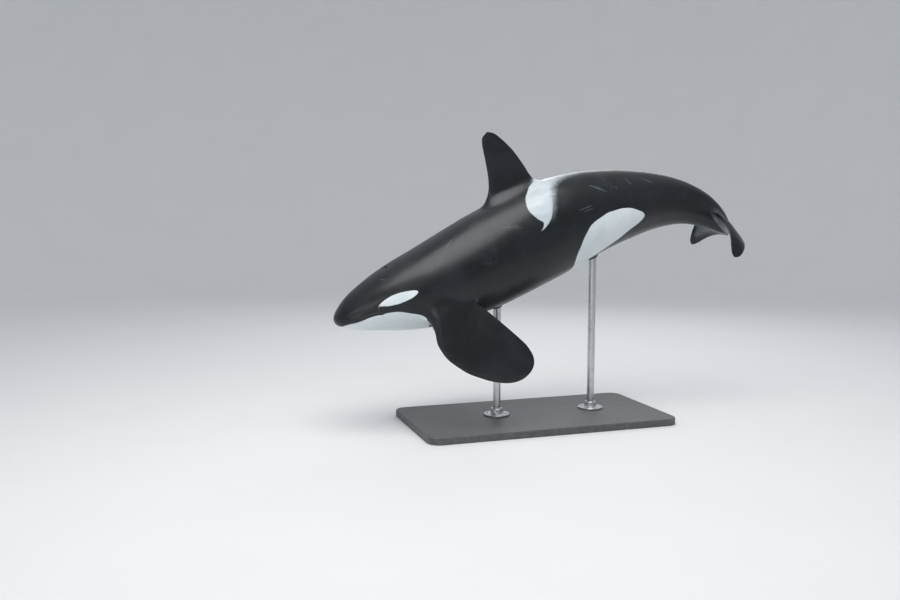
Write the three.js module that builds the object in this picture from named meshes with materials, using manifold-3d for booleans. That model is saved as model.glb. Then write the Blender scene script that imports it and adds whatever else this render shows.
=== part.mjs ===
// A young male orca, life-size, in a shallow head-down dive, held over a flat display base by two rods.
// Millimetres, +Z up. The head points along -X, the animal's left side faces -Y.
// The origin is the centre of the base's underside. The body is one loft along a bent spine, parted
// with thin cuts into head, lower jaw, trunk and tail stock; every fin is a blade of its own that
// meets the body's skin across a 0.35 mm gap.
import * as THREE from "three";
import { mergeVertices } from "three/addons/utils/BufferGeometryUtils.js";
import Module from "manifold-3d";

// ---------- driving sizes ----------
const LENGTH = 5800; // along the spine, snout tip to the notch between the flukes
const GAP = 0.35; // between neighbouring pieces
const RINGS = 50, SIDES = 36; // facets of the body loft

// pose in the room
const DIVE_DEG = 23.5; // the trunk's slope, head down
const BANK_DEG = 6; // the back leans this far towards the left side
const TRUNK_X = -120, TRUNK_Y = -30, TRUNK_Z = 2330; // where the spine at mid-trunk stands over the base
const MID_TRUNK = 0.45;

// the spine's own bend in degrees: slope (nose slightly raised, tail bent down), and the tail's turn and twist to the left
const SPINE = { s: [0, 0.1, 0.3, 0.45, 0.6, 0.72, 0.82, 0.9, 1.0], slope: [-5.5, -6.5, 0, 0, -8, -16, -27.4, -43.2, -69] };
const TURN = { s: [0, 0.55, 0.75, 0.9, 1.0], left: [0, 0, 1, 2.3, 3.3], twist: [0, 0, 1, 2.4, 3.4] };

// the trunk's sizes at named places, as shares of the length: back above the spine, belly below it, half width
const STATION = {
  snoutTip: [0.0, 0.0, 0.0, 0.0],
  lip: [0.01, 0.0235, 0.0195, 0.026],
  beak: [0.032, 0.0397, 0.0325, 0.043],
  melon: [0.07, 0.0565, 0.0465, 0.058],
  eye: [0.11, 0.07, 0.061, 0.071],
  blowhole: [0.15, 0.0795, 0.073, 0.081],
  neck: [0.2, 0.0876, 0.085, 0.09],
  shoulder: [0.27, 0.0974, 0.097, 0.094],
  girth: [0.36, 0.1068, 0.104, 0.095],
  finRear: [0.48, 0.112, 0.103, 0.089],
  loin: [0.58, 0.1035, 0.094, 0.077],
  vent: [0.68, 0.087, 0.079, 0.061],
  stockFront: [0.78, 0.067, 0.059, 0.04],
  stockMid: [0.86, 0.051, 0.043, 0.026],
  stockThin: [0.92, 0.039, 0.032, 0.019],
  flukeRoot: [0.965, 0.026, 0.021, 0.014],
  notch: [1.0, 0.004, 0.004, 0.005],
};

// dorsal fin: foot on the back, height, thickness; edges as [share of height, distance back as share of height]
const FIN = { from: 0.381, to: 0.509, foot: 0.112, height: 0.142, sink: 0.035, thick: 0.019 };
const FIN_FRONT = [[0, 0.005], [0.1, 0.115], [0.2, 0.175], [0.37, 0.228], [0.62, 0.273], [0.85, 0.312], [0.94, 0.345], [1, 0.45]];
const FIN_REAR = [[0, 1.02], [0.05, 0.93], [0.14, 0.88], [0.33, 0.828], [0.61, 0.735], [0.83, 0.622], [0.94, 0.545], [1, 0.45]];

// flippers: place on the flank, size, and how each is held; edges as [share of length, share of width]
const FLIPPER = { at: 0.213, around: 116, length: 0.2125, width: 0.132, thick: 0.022, sink: 0.04 };
const HELD_LEFT = { sweep: 28, down: 68 };
const HELD_RIGHT = { sweep: 50, down: 52 };
const FLIPPER_FRONT = [[-0.2, -0.3], [0, -0.42], [0.12, -0.575], [0.3, -0.652], [0.47, -0.632], [0.63, -0.555], [0.78, -0.445], [0.9, -0.305], [0.96, -0.185], [0.985, -0.095], [0.996, -0.025], [1, 0.045]];
const FLIPPER_REAR = [[-0.2, 0.36], [0, 0.36], [0.12, 0.358], [0.3, 0.352], [0.47, 0.348], [0.63, 0.344], [0.78, 0.335], [0.9, 0.285], [0.96, 0.218], [0.985, 0.158], [0.996, 0.105], [1, 0.045]];

// flukes: half span, thickness, how far the tips curl down, how the pair is turned to the left and rolled; edges as [share of half span, distance behind the notch]
const FLUKE = { half: 0.13, thick: 0.02, curl: 90, power: 2, yaw: 3, roll: 3 };
const FLUKE_FRONT = [[0, -0.098], [0.08, -0.09], [0.2, -0.078], [0.4, -0.063], [0.6, -0.048], [0.8, -0.029], [0.92, -0.0155], [0.98, -0.006], [1, 0.003]];
const FLUKE_REAR = [[0, 0], [0.04, 0.007], [0.12, 0.013], [0.3, 0.0145], [0.5, 0.0135], [0.7, 0.013], [0.86, 0.013], [0.95, 0.01], [1, 0.0035]];

// eye: place on the head, ball radius, how far the ball stands out of the skin
const EYE = { at: 0.077, around: 80.6, radius: 27, proud: 7 };

// the front of the snout stands out from the plain loft: how far, back to where, over which heights above the lips, how steeply
const SNOUT = { push: 0.0097, reach: 0.05, low: 0.0086, high: 0.0431, raised: 38 };
const LIPS = [[0, -0.0165], [0.007, -0.0155], [0.018, -0.0108], [0.037, -0.006], [0.055, -0.0018]];

// cuts: the neck in front of the flippers, and the start of the tail stock
const NECK_CUT = 0.176, STOCK_CUT = 0.7;
// mouth: line from lip to corner and on down to the throat, in shares of the length (along, up)
const MOUTH = [[-0.02, -0.0102], [-0.0003, -0.0099], [0.0126, -0.0066], [0.0357, -0.005], [0.055, -0.0018], [0.07, -0.0012], [0.082, -0.0035], [0.098, -0.018], [0.118, -0.048], [0.13, -0.09], [-0.02, -0.09]];

// stand
const BASE = { length: 3300, width: 1700, thick: 90, corner: 140, bevel: 8 };
const ROD = { radius: 48, front: 0.335, rear: 0.6 };
const FLANGE = { radius: 165, thick: 26, boss: 78, bossHigh: 70 };

// ---------- curves ----------
// a smooth, never overshooting curve through a few [x, y] pairs
function smooth(pairs, xi) {
  const x = pairs.map((p) => p[0]), y = pairs.map((p) => p[1]), n = x.length;
  const h = [], d = [], m = new Array(n).fill(0);
  for (let i = 0; i < n - 1; i++) { h.push(x[i + 1] - x[i]); d.push((y[i + 1] - y[i]) / h[i]); }
  for (let i = 1; i < n - 1; i++)
    if (d[i - 1] * d[i] > 0) {
      const a = 2 * h[i] + h[i - 1], b = h[i] + 2 * h[i - 1];
      m[i] = (a + b) / (a / d[i - 1] + b / d[i]);
    }
  m[0] = d[0]; m[n - 1] = d[n - 2];
  let k = 0;
  while (k < n - 2 && xi >= x[k + 1]) k++;
  const t = (xi - x[k]) / h[k], t2 = t * t, t3 = t2 * t;
  return (2 * t3 - 3 * t2 + 1) * y[k] + (t3 - 2 * t2 + t) * h[k] * m[k] + (3 * t2 - 2 * t3) * y[k + 1] + (t3 - t2) * h[k] * m[k + 1];
}
const stations = Object.values(STATION);
const size = (column) => (s) => Math.sqrt(Math.max(0, smooth(stations.map((p) => [p[0], p[column] ** 2]), s)));
const back = size(1), belly = size(2), half = size(3);
const rad = THREE.MathUtils.degToRad;
const clamp = THREE.MathUtils.clamp;

// the spine, stepped finely: position, slope and turn at each step, in shares of the length
const STEPS = 1200;
const spine = [];
{
  let x = 0, y = 0, z = 0;
  const pairs = (keys, values) => keys.map((k, i) => [k, values[i]]);
  const slope = pairs(SPINE.s, SPINE.slope), turn = pairs(TURN.s, TURN.left), twist = pairs(TURN.s, TURN.twist);
  const dir = (s) => {
    const a = rad(smooth(slope, s)), b = rad(smooth(turn, s)), t = rad(smooth(twist, s));
    return { a, b, t, x: Math.cos(a) * Math.cos(b), y: -Math.sin(b), z: Math.sin(a) * Math.cos(b) };
  };
  let last = dir(0);
  for (let i = 0; i <= STEPS; i++) {
    const now = dir(i / STEPS);
    if (i) { x += (last.x + now.x) / 2 / STEPS; y += (last.y + now.y) / 2 / STEPS; z += (last.z + now.z) / 2 / STEPS; }
    spine.push({ x, y, z, a: now.a, b: now.b, t: now.t });
    last = now;
  }
}
function at(s) {
  const f = clamp(s, 0, 1) * STEPS, i = Math.min(STEPS - 1, Math.floor(f)), t = f - i;
  const p = spine[i], q = spine[i + 1], mix = (k) => p[k] + (q[k] - p[k]) * t;
  const a = mix("a"), b = mix("b"), twisted = mix("t");
  const rear = new THREE.Vector3(Math.cos(a) * Math.cos(b), -Math.sin(b), Math.sin(a) * Math.cos(b));
  const up = new THREE.Vector3(-Math.sin(a), 0, Math.cos(a));
  const left = new THREE.Vector3().crossVectors(rear, up);
  up.applyAxisAngle(rear, twisted);
  left.applyAxisAngle(rear, twisted);
  return { point: new THREE.Vector3(mix("x"), mix("y"), mix("z")), rear, up, left };
}
// a point beside the spine, in shares of the length
function beside(s, left, up) {
  const f = at(s);
  return f.point.clone().addScaledVector(f.left, left).addScaledVector(f.up, up).addScaledVector(f.rear, s - clamp(s, 0, 1));
}
// the body's section: an ellipse above and below, pinched to a keel along the tail stock
const pinch = (s) => 1 + 0.35 * clamp((s - 0.55) / 0.3, 0, 1);
function onSkin(s, angle) {
  const c = Math.cos(angle), n = Math.sin(angle);
  const up = (c >= 0 ? back(s) : belly(s)) * c;
  return beside(s, half(s) * Math.sign(n) * Math.abs(n) ** pinch(s), up).add(snoutPush(s, up));
}
function snoutPush(s, up) {
  const ease = (x) => clamp(x, 0, 1) ** 2 * (3 - 2 * clamp(x, 0, 1));
  const over = up - smooth(LIPS, clamp(s, 0, SNOUT.reach)), f = at(0), r = rad(SNOUT.raised);
  const amount = SNOUT.push * (1 - ease(s / SNOUT.reach)) * (1 - ease((over - SNOUT.low) / (SNOUT.high - SNOUT.low)));
  return f.rear.clone().multiplyScalar(-Math.cos(r)).addScaledVector(f.up, Math.sin(r)).multiplyScalar(amount);
}

// the whole animal's place in the room
const PLACE = new THREE.Matrix4()
  .makeTranslation(TRUNK_X, TRUNK_Y, TRUNK_Z)
  .multiply(new THREE.Matrix4().makeRotationY(-rad(DIVE_DEG)))
  .multiply(new THREE.Matrix4().makeRotationX(rad(BANK_DEG)))
  .multiply(new THREE.Matrix4().makeScale(LENGTH, LENGTH, LENGTH))
  .multiply(new THREE.Matrix4().makeTranslation(...at(MID_TRUNK).point.clone().negate().toArray()));
const inRoom = (p) => p.clone().applyMatrix4(PLACE);

// ---------- solids ----------
const wasm = await Module();
wasm.setup();
// a closed geometry as a solid
function solid(geometry) {
  const g = geometry.clone();
  for (const name of Object.keys(g.attributes)) if (name !== "position") g.deleteAttribute(name);
  const m = mergeVertices(g, 1e-3);
  return new wasm.Manifold(new wasm.Mesh({ numProp: 3, vertProperties: m.attributes.position.array, triVerts: new Uint32Array(m.index.array) }));
}
// rows of points, each a closed loop, capped at both ends by a fan round a middle point
function loft(rows, first, last) {
  const n = rows[0].length, position = [], index = [];
  rows.forEach((row) => row.forEach((p) => position.push(p.x, p.y, p.z)));
  position.push(first.x, first.y, first.z, last.x, last.y, last.z);
  const a = rows.length * n, b = a + 1;
  for (let i = 0; i < rows.length - 1; i++)
    for (let j = 0; j < n; j++) {
      const k = (j + 1) % n, p = i * n + j, q = i * n + k;
      index.push(p, q, q + n, p, q + n, p + n);
    }
  for (let j = 0; j < n; j++) {
    const k = (j + 1) % n, r = (rows.length - 1) * n;
    index.push(a, k, j, b, r + j, r + k);
  }
  const g = new THREE.BufferGeometry();
  g.setAttribute("position", new THREE.Float32BufferAttribute(position, 3));
  g.setIndex(index);
  return g;
}
// the same loft, grown along its own normals
function grown(geometry, by) {
  const g = geometry.clone();
  g.computeVertexNormals();
  const p = g.attributes.position, n = g.attributes.normal;
  for (let i = 0; i < p.count; i++) p.setXYZ(i, p.getX(i) + n.getX(i) * by, p.getY(i) + n.getY(i) * by, p.getZ(i) + n.getZ(i) * by);
  return g;
}
// a loft is turned right side out if it came inside out
function outward(geometry) {
  const p = geometry.attributes.position, ix = geometry.index.array;
  const a = new THREE.Vector3(), b = new THREE.Vector3(), c = new THREE.Vector3();
  let v = 0;
  for (let i = 0; i < ix.length; i += 3) {
    a.fromBufferAttribute(p, ix[i]); b.fromBufferAttribute(p, ix[i + 1]); c.fromBufferAttribute(p, ix[i + 2]);
    v += a.dot(b.cross(c));
  }
  if (v < 0) for (let i = 0; i < ix.length; i += 3) [ix[i + 1], ix[i + 2]] = [ix[i + 2], ix[i + 1]];
  return geometry;
}

// body
const bodyRows = [];
for (let i = 1; i < RINGS; i++) {
  const s = (i / RINGS) ** 1.3, row = [];
  for (let j = 0; j < SIDES; j++) row.push(inRoom(onSkin(s, (j / SIDES) * 2 * Math.PI)));
  bodyRows.push(row);
}
const bodyGeometry = outward(loft(bodyRows, inRoom(onSkin(0, 0)), inRoom(beside(1, 0, 0))));
const body = solid(bodyGeometry);
const bodyRoom = solid(grown(bodyGeometry, GAP));

// a blade's section: round in front, thin behind; u runs 0 in front to 1 behind
const bladeHalf = (u) => Math.sqrt(Math.max(0, u)) * Math.max(0, 1 - u) ** 0.82 * 2.02 * 0.575;
function bladeLoop(front, rear, thick, sides, put) {
  const row = [], mid = (front + rear) / 2, chord = Math.max(rear - front, 0);
  for (let j = 0; j < sides; j++) {
    const t = (j / sides) * 2 * Math.PI, u = (1 - Math.cos(t)) / 2;
    const y = Math.sign(Math.round(Math.sin(t) * 1e9)) * Math.max(bladeHalf(u), 0.09 * Math.abs(Math.sin(t))) * thick;
    row.push(put(mid - (Math.cos(t) * chord) / 2, y));
  }
  return row;
}
const shares = (n, power) => Array.from({ length: n }, (_, i) => 1 - (1 - i / n) ** power);

// dorsal fin, standing on the line between its two ends on the back
function dorsalFin() {
  const a = beside(FIN.from, 0, FIN.foot), b = beside(FIN.to, 0, back(FIN.to));
  const ex = b.clone().sub(a).normalize(), ey = new THREE.Vector3(0, -1, 0), ez = new THREE.Vector3(-ex.z, 0, ex.x);
  const H = FIN.height, rows = [];
  for (const k of [-FIN.sink / H, ...shares(13, 1.7)]) {
    const kk = clamp(k, 0, 1), front = smooth(FIN_FRONT, kk), rear = smooth(FIN_REAR, kk);
    const flare = 1 + 0.9 * clamp(1 - kk / 0.14, 0, 1) ** 2;
    const thick = FIN.thick * (1 - 0.72 * kk) * flare * Math.min(1, (Math.max(rear - front, 0) / 0.5) ** 0.6);
    rows.push(bladeLoop(front * H, rear * H, thick, 16, (x, y) =>
      inRoom(a.clone().addScaledVector(ex, x).addScaledVector(ey, y).addScaledVector(ez, k * H))));
  }
  const mid = (k, x) => inRoom(a.clone().addScaledVector(ex, x * H).addScaledVector(ez, k * H));
  return outward(loft(rows, mid(-FIN.sink / H, 0.5), mid(1, 0.45)));
}
// flipper; side is 1 on the left and -1 on the right
function flipper(side, held) {
  const s = FLIPPER.at, f = at(s), around = rad(FLIPPER.around);
  const root = beside(s, half(s) * Math.sin(around), belly(s) * Math.cos(around));
  const left = new THREE.Vector3(0, -1, 0), sw = rad(held.sweep), dn = rad(held.down);
  const span = f.rear.clone().multiplyScalar(Math.sin(sw))
    .addScaledVector(left, Math.cos(dn) * Math.cos(sw)).addScaledVector(f.up, -Math.sin(dn) * Math.cos(sw));
  const chord = f.rear.clone().addScaledVector(span, -f.rear.dot(span)).normalize();
  const flat = new THREE.Vector3().crossVectors(span, chord);
  const put = (k, x, y) => {
    const p = root.clone().addScaledVector(span, k * FLIPPER.length).addScaledVector(chord, x).addScaledVector(flat, y);
    if (side < 0) p.y = -p.y;
    return inRoom(p);
  };
  const rows = [], sink = -FLIPPER.sink / FLIPPER.length, W = FLIPPER.width;
  for (const k of [sink, ...shares(14, 1.7)]) {
    const front = smooth(FLIPPER_FRONT, k) * W, rear = smooth(FLIPPER_REAR, k) * W, kk = clamp(k, 0, 1);
    const flare = 1 + 0.5 * clamp(1 - kk / 0.2, 0, 1) ** 2;
    const thick = FLIPPER.thick * (1 - 0.68 * kk) * flare * Math.min(1, (Math.max(rear - front, 0) / (0.5 * W)) ** 0.7);
    rows.push(bladeLoop(front, rear, thick, 16, (x, y) => put(k, x, y)));
  }
  return outward(loft(rows, put(sink, 0, 0), put(1, 0.045 * W, 0)));
}
// fluke; side is 1 on the left and -1 on the right. Its tip curls down along an arc
function fluke(side) {
  const f = at(1), base = beside(1, 0, 0), y = rad(FLUKE.yaw), r = rad(FLUKE.roll);
  const turned = (a, b, c) => f.rear.clone().multiplyScalar(a).addScaledVector(f.left, b).addScaledVector(f.up, c);
  const rearward = turned(Math.cos(y), Math.sin(y) * Math.cos(r), -Math.sin(y) * Math.sin(r));
  const out = turned(-Math.sin(y), Math.cos(y) * Math.cos(r), -Math.cos(y) * Math.sin(r)).multiplyScalar(side);
  const upward = turned(0, Math.sin(r), Math.cos(r));
  const bend = (k) => rad(FLUKE.curl) * k ** FLUKE.power;
  const arc = (k) => {
    let y = 0, z = 0;
    for (let i = 0; i < 60; i++) { const b = bend(((i + 0.5) / 60) * k); y += (Math.cos(b) * k) / 60; z -= (Math.sin(b) * k) / 60; }
    return [y * FLUKE.half, z * FLUKE.half];
  };
  const rows = [];
  const put = (k, x, y) => {
    const [o, u] = arc(Math.max(k, 0)), b = bend(Math.max(k, 0));
    return inRoom(base.clone().addScaledVector(out, k < 0 ? k * FLUKE.half : o).addScaledVector(upward, u).addScaledVector(rearward, x)
      .addScaledVector(upward, Math.cos(b) * y).addScaledVector(out, Math.sin(b) * y));
  };
  for (const k of [0, ...shares(14, 1.6).slice(1)]) {
    const front = smooth(FLUKE_FRONT, k), rear = smooth(FLUKE_REAR, k), c = Math.max(rear - front, 0);
    rows.push(bladeLoop(front, rear, FLUKE.thick * (1 - 0.75 * k) * Math.min(1, (c / 0.05) ** 0.7), 16, (x, y) => put(k, x, y)));
  }
  return outward(loft(rows, put(0, -0.04, 0), put(1, 0.0033, 0)));
}

// a big block whose face stands across the spine at s and which reaches towards the tail
function behind(s, shift = 0) {
  const f = at(s), g = new THREE.BoxGeometry(9000, 9000, 9000);
  const r = f.rear.clone(), m = new THREE.Matrix4().makeBasis(r, f.left.clone().negate(), f.up.clone()).setPosition(0, 0, 0);
  const turn = new THREE.Matrix4().extractRotation(PLACE).multiply(m);
  const c = inRoom(f.point).add(new THREE.Vector3(4500 + shift, 0, 0).applyMatrix4(turn));
  return solid(g.applyMatrix4(turn.setPosition(c)));
}
// a block cut to an outline in the body's upright plane, right across it; grow pushes its sides outward
function acrossHead(outline, grow) {
  const shape = new THREE.Shape(outline.map(([s, up]) => {
    const p = beside(s, 0, up);
    return new THREE.Vector2(p.x * LENGTH, p.z * LENGTH);
  }));
  let points = shape.getPoints();
  const area = THREE.ShapeUtils.area(points), turn = Math.sign(area);
  points = points.map((p, i) => {
    const q = points[(i + points.length - 1) % points.length], r = points[(i + 1) % points.length];
    const n1 = new THREE.Vector2(p.y - q.y, q.x - p.x).normalize(), n2 = new THREE.Vector2(r.y - p.y, p.x - r.x).normalize();
    return p.clone().addScaledVector(n1.add(n2).normalize(), grow * turn);
  });
  const g = new THREE.ExtrudeGeometry(new THREE.Shape(points), { depth: 3000, bevelEnabled: false, steps: 1 });
  // the outline's x and y are the body's x and z, and the depth runs along its y
  const m = new THREE.Matrix4().makeBasis(new THREE.Vector3(1, 0, 0), new THREE.Vector3(0, 0, 1), new THREE.Vector3(0, -1, 0)).setPosition(0, 1500, 0);
  return solid(g.applyMatrix4(m).applyMatrix4(new THREE.Matrix4().makeScale(1 / LENGTH, 1 / LENGTH, 1 / LENGTH)).applyMatrix4(PLACE));
}

// eyes
function eyeCentre(side) {
  const s = EYE.at, a = rad(EYE.around), d = 1e-3;
  const p = onSkin(s, a), u = onSkin(s + d, a).sub(onSkin(s - d, a)), v = onSkin(s, a + d).sub(onSkin(s, a - d));
  const n = new THREE.Vector3().crossVectors(u, v).normalize();
  if (n.y > 0) n.negate(); // out of the left side
  p.addScaledVector(n, (EYE.proud - EYE.radius) / LENGTH);
  if (side < 0) p.y = -p.y;
  return inRoom(p);
}
const ball = (centre, radius) => new THREE.SphereGeometry(radius, 16, 10).translate(centre.x, centre.y, centre.z);

// ---------- pieces ----------
const skin = (color, roughness = 0.35) => new THREE.MeshStandardMaterial({ color, roughness, metalness: 0 });
const BLACK = 0x14171b, WHITE = 0xdfe4e6;
const group = new THREE.Group();
function add(name, made, material) {
  let parts = made.decompose().filter((p) => p.volume() > 100).sort((a, b) => b.volume() - a.volume());
  const m = parts[0].getMesh(), n = m.numProp, v = new Float32Array(m.numVert * 3);
  for (let i = 0; i < m.numVert; i++) v.set(m.vertProperties.subarray(i * n, i * n + 3), i * 3);
  const g = new THREE.BufferGeometry();
  g.setAttribute("position", new THREE.BufferAttribute(v, 3));
  g.setIndex(new THREE.BufferAttribute(new Uint32Array(m.triVerts), 1));
  g.computeVertexNormals();
  const mesh = new THREE.Mesh(g, material);
  mesh.name = name;
  group.add(mesh);
  return parts[0];
}

const eyeL = eyeCentre(1), eyeR = eyeCentre(-1);
const sockets = solid(ball(eyeL, EYE.radius + GAP)).add(solid(ball(eyeR, EYE.radius + GAP)));
const wholeHead = body.subtract(behind(NECK_CUT, -GAP / 2));
const jaw = wholeHead.intersect(acrossHead(MOUTH, -GAP / 2));
const head = wholeHead.subtract(acrossHead(MOUTH, GAP / 2)).subtract(sockets);
const trunk = body.intersect(behind(NECK_CUT, GAP / 2)).subtract(behind(STOCK_CUT, -GAP / 2));
const stock = body.intersect(behind(STOCK_CUT, GAP / 2));
add("head", head, skin(BLACK));
add("lower_jaw", jaw, skin(WHITE));
add("trunk", trunk, skin(BLACK));
add("tail_stock", stock, skin(BLACK));
add("eye_left", solid(ball(eyeL, EYE.radius)), skin(0x0c0a09, 0.08));
add("eye_right", solid(ball(eyeR, EYE.radius)), skin(0x0c0a09, 0.08));
add("dorsal_fin", solid(dorsalFin()).subtract(bodyRoom), skin(BLACK));
add("flipper_left", solid(flipper(1, HELD_LEFT)).subtract(bodyRoom), skin(BLACK));
add("flipper_right", solid(flipper(-1, HELD_RIGHT)).subtract(bodyRoom), skin(BLACK));
{
  // each fluke keeps its own side of the tail's middle plane
  const f = at(1);
  const sideBlock = (side) => {
    const g = new THREE.BoxGeometry(9000, 9000, 9000);
    const turn = new THREE.Matrix4().extractRotation(PLACE).multiply(new THREE.Matrix4().makeBasis(f.rear.clone(), f.left.clone().negate(), f.up.clone()));
    const c = inRoom(f.point).add(new THREE.Vector3(0, -side * (4500 + GAP / 2), 0).applyMatrix4(turn));
    return solid(g.applyMatrix4(turn.setPosition(c)));
  };
  add("fluke_left", solid(fluke(1)).subtract(bodyRoom).intersect(sideBlock(1)), skin(BLACK));
  add("fluke_right", solid(fluke(-1)).subtract(bodyRoom).intersect(sideBlock(-1)), skin(BLACK));
}

// stand: a plate with rounded corners, and two upright rods, each in a collared flange and cut to the belly's shape
const steel = (color, roughness) => new THREE.MeshStandardMaterial({ color, roughness, metalness: 0.9 });
{
  const w = BASE.length / 2 - BASE.bevel, d = BASE.width / 2 - BASE.bevel, r = BASE.corner, plate = new THREE.Shape();
  plate.moveTo(-w + r, -d); plate.lineTo(w - r, -d); plate.absarc(w - r, -d + r, r, -Math.PI / 2, 0);
  plate.lineTo(w, d - r); plate.absarc(w - r, d - r, r, 0, Math.PI / 2);
  plate.lineTo(-w + r, d); plate.absarc(-w + r, d - r, r, Math.PI / 2, Math.PI);
  plate.lineTo(-w, -d + r); plate.absarc(-w + r, -d + r, r, Math.PI, Math.PI * 1.5);
  const g = new THREE.ExtrudeGeometry(plate, { depth: BASE.thick - 2 * BASE.bevel, bevelEnabled: true, bevelThickness: BASE.bevel, bevelSize: BASE.bevel, bevelSegments: 1, curveSegments: 6 });
  add("stand_base", solid(g.translate(0, 0, BASE.bevel)), new THREE.MeshStandardMaterial({ color: 0x2b2d30, roughness: 0.6, metalness: 0 }));
}
for (const [name, s] of [["front", ROD.front], ["rear", ROD.rear]]) {
  // the rod stands straight up under the spine at s
  const foot = inRoom(beside(s, 0, -belly(s)));
  const top = foot.z + 160, z0 = BASE.thick + GAP;
  const turned = (profile) => {
    const g = new THREE.LatheGeometry(profile.map(([x, y]) => new THREE.Vector2(x, y)), 28);
    return g.rotateX(Math.PI / 2).translate(foot.x, foot.y, 0);
  };
  const F = FLANGE, zf = z0 + F.thick;
  add("stand_flange_" + name, solid(turned([[ROD.radius + GAP, z0], [F.radius - 4, z0], [F.radius, z0 + 4], [F.radius, zf - 5], [F.radius - 5, zf],
    [F.boss + 14, zf], [F.boss, zf + 12], [F.boss - 4, zf + F.bossHigh - 6], [F.boss - 10, zf + F.bossHigh], [ROD.radius + GAP, zf + F.bossHigh], [ROD.radius + GAP, z0]])), steel(0x8d9194, 0.4));
  add("stand_rod_" + name, solid(turned([[0, z0], [ROD.radius, z0], [ROD.radius, top], [0, top]])).subtract(bodyRoom), steel(0xb9bdc0, 0.3));
}
export default group;
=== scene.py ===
# A young male orca, life-size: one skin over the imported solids, separate eyes, and a plain display stand.
# Metres, in the row frame. Body coordinates are (along, left, up) shares of the length about a bent spine.
import bpy, bmesh, math
import numpy as np
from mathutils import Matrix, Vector
from mathutils.bvhtree import BVHTree
from mathutils.kdtree import KDTree


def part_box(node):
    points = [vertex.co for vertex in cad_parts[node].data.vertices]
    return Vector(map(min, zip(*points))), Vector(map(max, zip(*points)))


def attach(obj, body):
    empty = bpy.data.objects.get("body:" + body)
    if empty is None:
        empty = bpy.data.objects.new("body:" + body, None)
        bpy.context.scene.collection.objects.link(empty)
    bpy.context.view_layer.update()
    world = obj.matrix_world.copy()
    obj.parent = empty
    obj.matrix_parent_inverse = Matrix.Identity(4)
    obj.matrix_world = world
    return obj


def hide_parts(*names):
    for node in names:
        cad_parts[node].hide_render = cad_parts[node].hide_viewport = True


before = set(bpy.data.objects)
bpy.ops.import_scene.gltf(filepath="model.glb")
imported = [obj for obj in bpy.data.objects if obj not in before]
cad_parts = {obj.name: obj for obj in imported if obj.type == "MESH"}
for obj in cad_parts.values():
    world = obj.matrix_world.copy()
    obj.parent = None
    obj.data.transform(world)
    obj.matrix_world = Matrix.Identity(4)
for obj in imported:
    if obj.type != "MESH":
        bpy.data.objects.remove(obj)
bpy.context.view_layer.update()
scene = bpy.context.scene

# ---------- sizes, as shares of the length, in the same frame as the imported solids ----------
LENGTH = 5.8
DIVE, BANK = 23.5, 6.0
TRUNK = np.array([-0.12, -0.03, 2.33])
MID_TRUNK = 0.45
SPINE_S = [0, 0.1, 0.3, 0.45, 0.6, 0.72, 0.82, 0.9, 1.0]
SLOPE = [-5.5, -6.5, 0, 0, -8, -16, -27.4, -43.2, -69]
TURN_S = [0, 0.55, 0.75, 0.9, 1.0]
TURN = [0, 0, 1, 2.3, 3.3]
TWIST = [0, 0, 1, 2.4, 3.4]
STATION = np.array([  # along, back, belly, half width
    [0.0, 0.0, 0.0, 0.0],
    [0.01, 0.0235, 0.0195, 0.026],
    [0.032, 0.0397, 0.0325, 0.043],
    [0.07, 0.0565, 0.0465, 0.058],
    [0.11, 0.07, 0.061, 0.071],
    [0.15, 0.0795, 0.073, 0.081],
    [0.2, 0.0876, 0.085, 0.09],
    [0.27, 0.0974, 0.097, 0.094],
    [0.36, 0.1068, 0.104, 0.095],
    [0.48, 0.112, 0.103, 0.089],
    [0.58, 0.1035, 0.094, 0.077],
    [0.68, 0.087, 0.079, 0.061],
    [0.78, 0.067, 0.059, 0.04],
    [0.86, 0.051, 0.043, 0.026],
    [0.92, 0.039, 0.032, 0.019],
    [0.965, 0.026, 0.021, 0.014],
    [1.0, 0.004, 0.004, 0.005],
])


def smooth_curve(x, y, xi):
    """a smooth curve through a few pairs, which never overshoots them"""
    x, y, xi = np.asarray(x, float), np.asarray(y, float), np.asarray(xi, float)
    h = np.diff(x)
    d = np.diff(y) / h
    m = np.zeros_like(y)
    for i in range(1, len(x) - 1):
        if d[i - 1] * d[i] > 0:
            a, b = 2 * h[i] + h[i - 1], h[i] + 2 * h[i - 1]
            m[i] = (a + b) / (a / d[i - 1] + b / d[i])
    m[0], m[-1] = d[0], d[-1]
    k = np.clip(np.searchsorted(x, xi, side="right") - 1, 0, len(x) - 2)
    t = (xi - x[k]) / h[k]
    t2, t3 = t * t, t * t * t
    return (2 * t3 - 3 * t2 + 1) * y[k] + (t3 - 2 * t2 + t) * h[k] * m[k] + (3 * t2 - 2 * t3) * y[k + 1] + (t3 - t2) * h[k] * m[k + 1]


def pairs(table, xi):
    return smooth_curve([p[0] for p in table], [p[1] for p in table], xi)


def size(column, s):
    return np.sqrt(np.maximum(smooth_curve(STATION[:, 0], STATION[:, column] ** 2, np.clip(s, 0, 1)), 0))


STEPS = 1200
_s = np.linspace(0, 1, STEPS + 1)
_a = np.radians(smooth_curve(SPINE_S, SLOPE, _s))
_b = np.radians(smooth_curve(TURN_S, TURN, _s))
_t = np.radians(smooth_curve(TURN_S, TWIST, _s))
_d = np.stack([np.cos(_a) * np.cos(_b), -np.sin(_b), np.sin(_a) * np.cos(_b)], -1)
_p = np.concatenate([[[0.0, 0, 0]], np.cumsum((_d[1:] + _d[:-1]) / 2 / STEPS, 0)])


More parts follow.
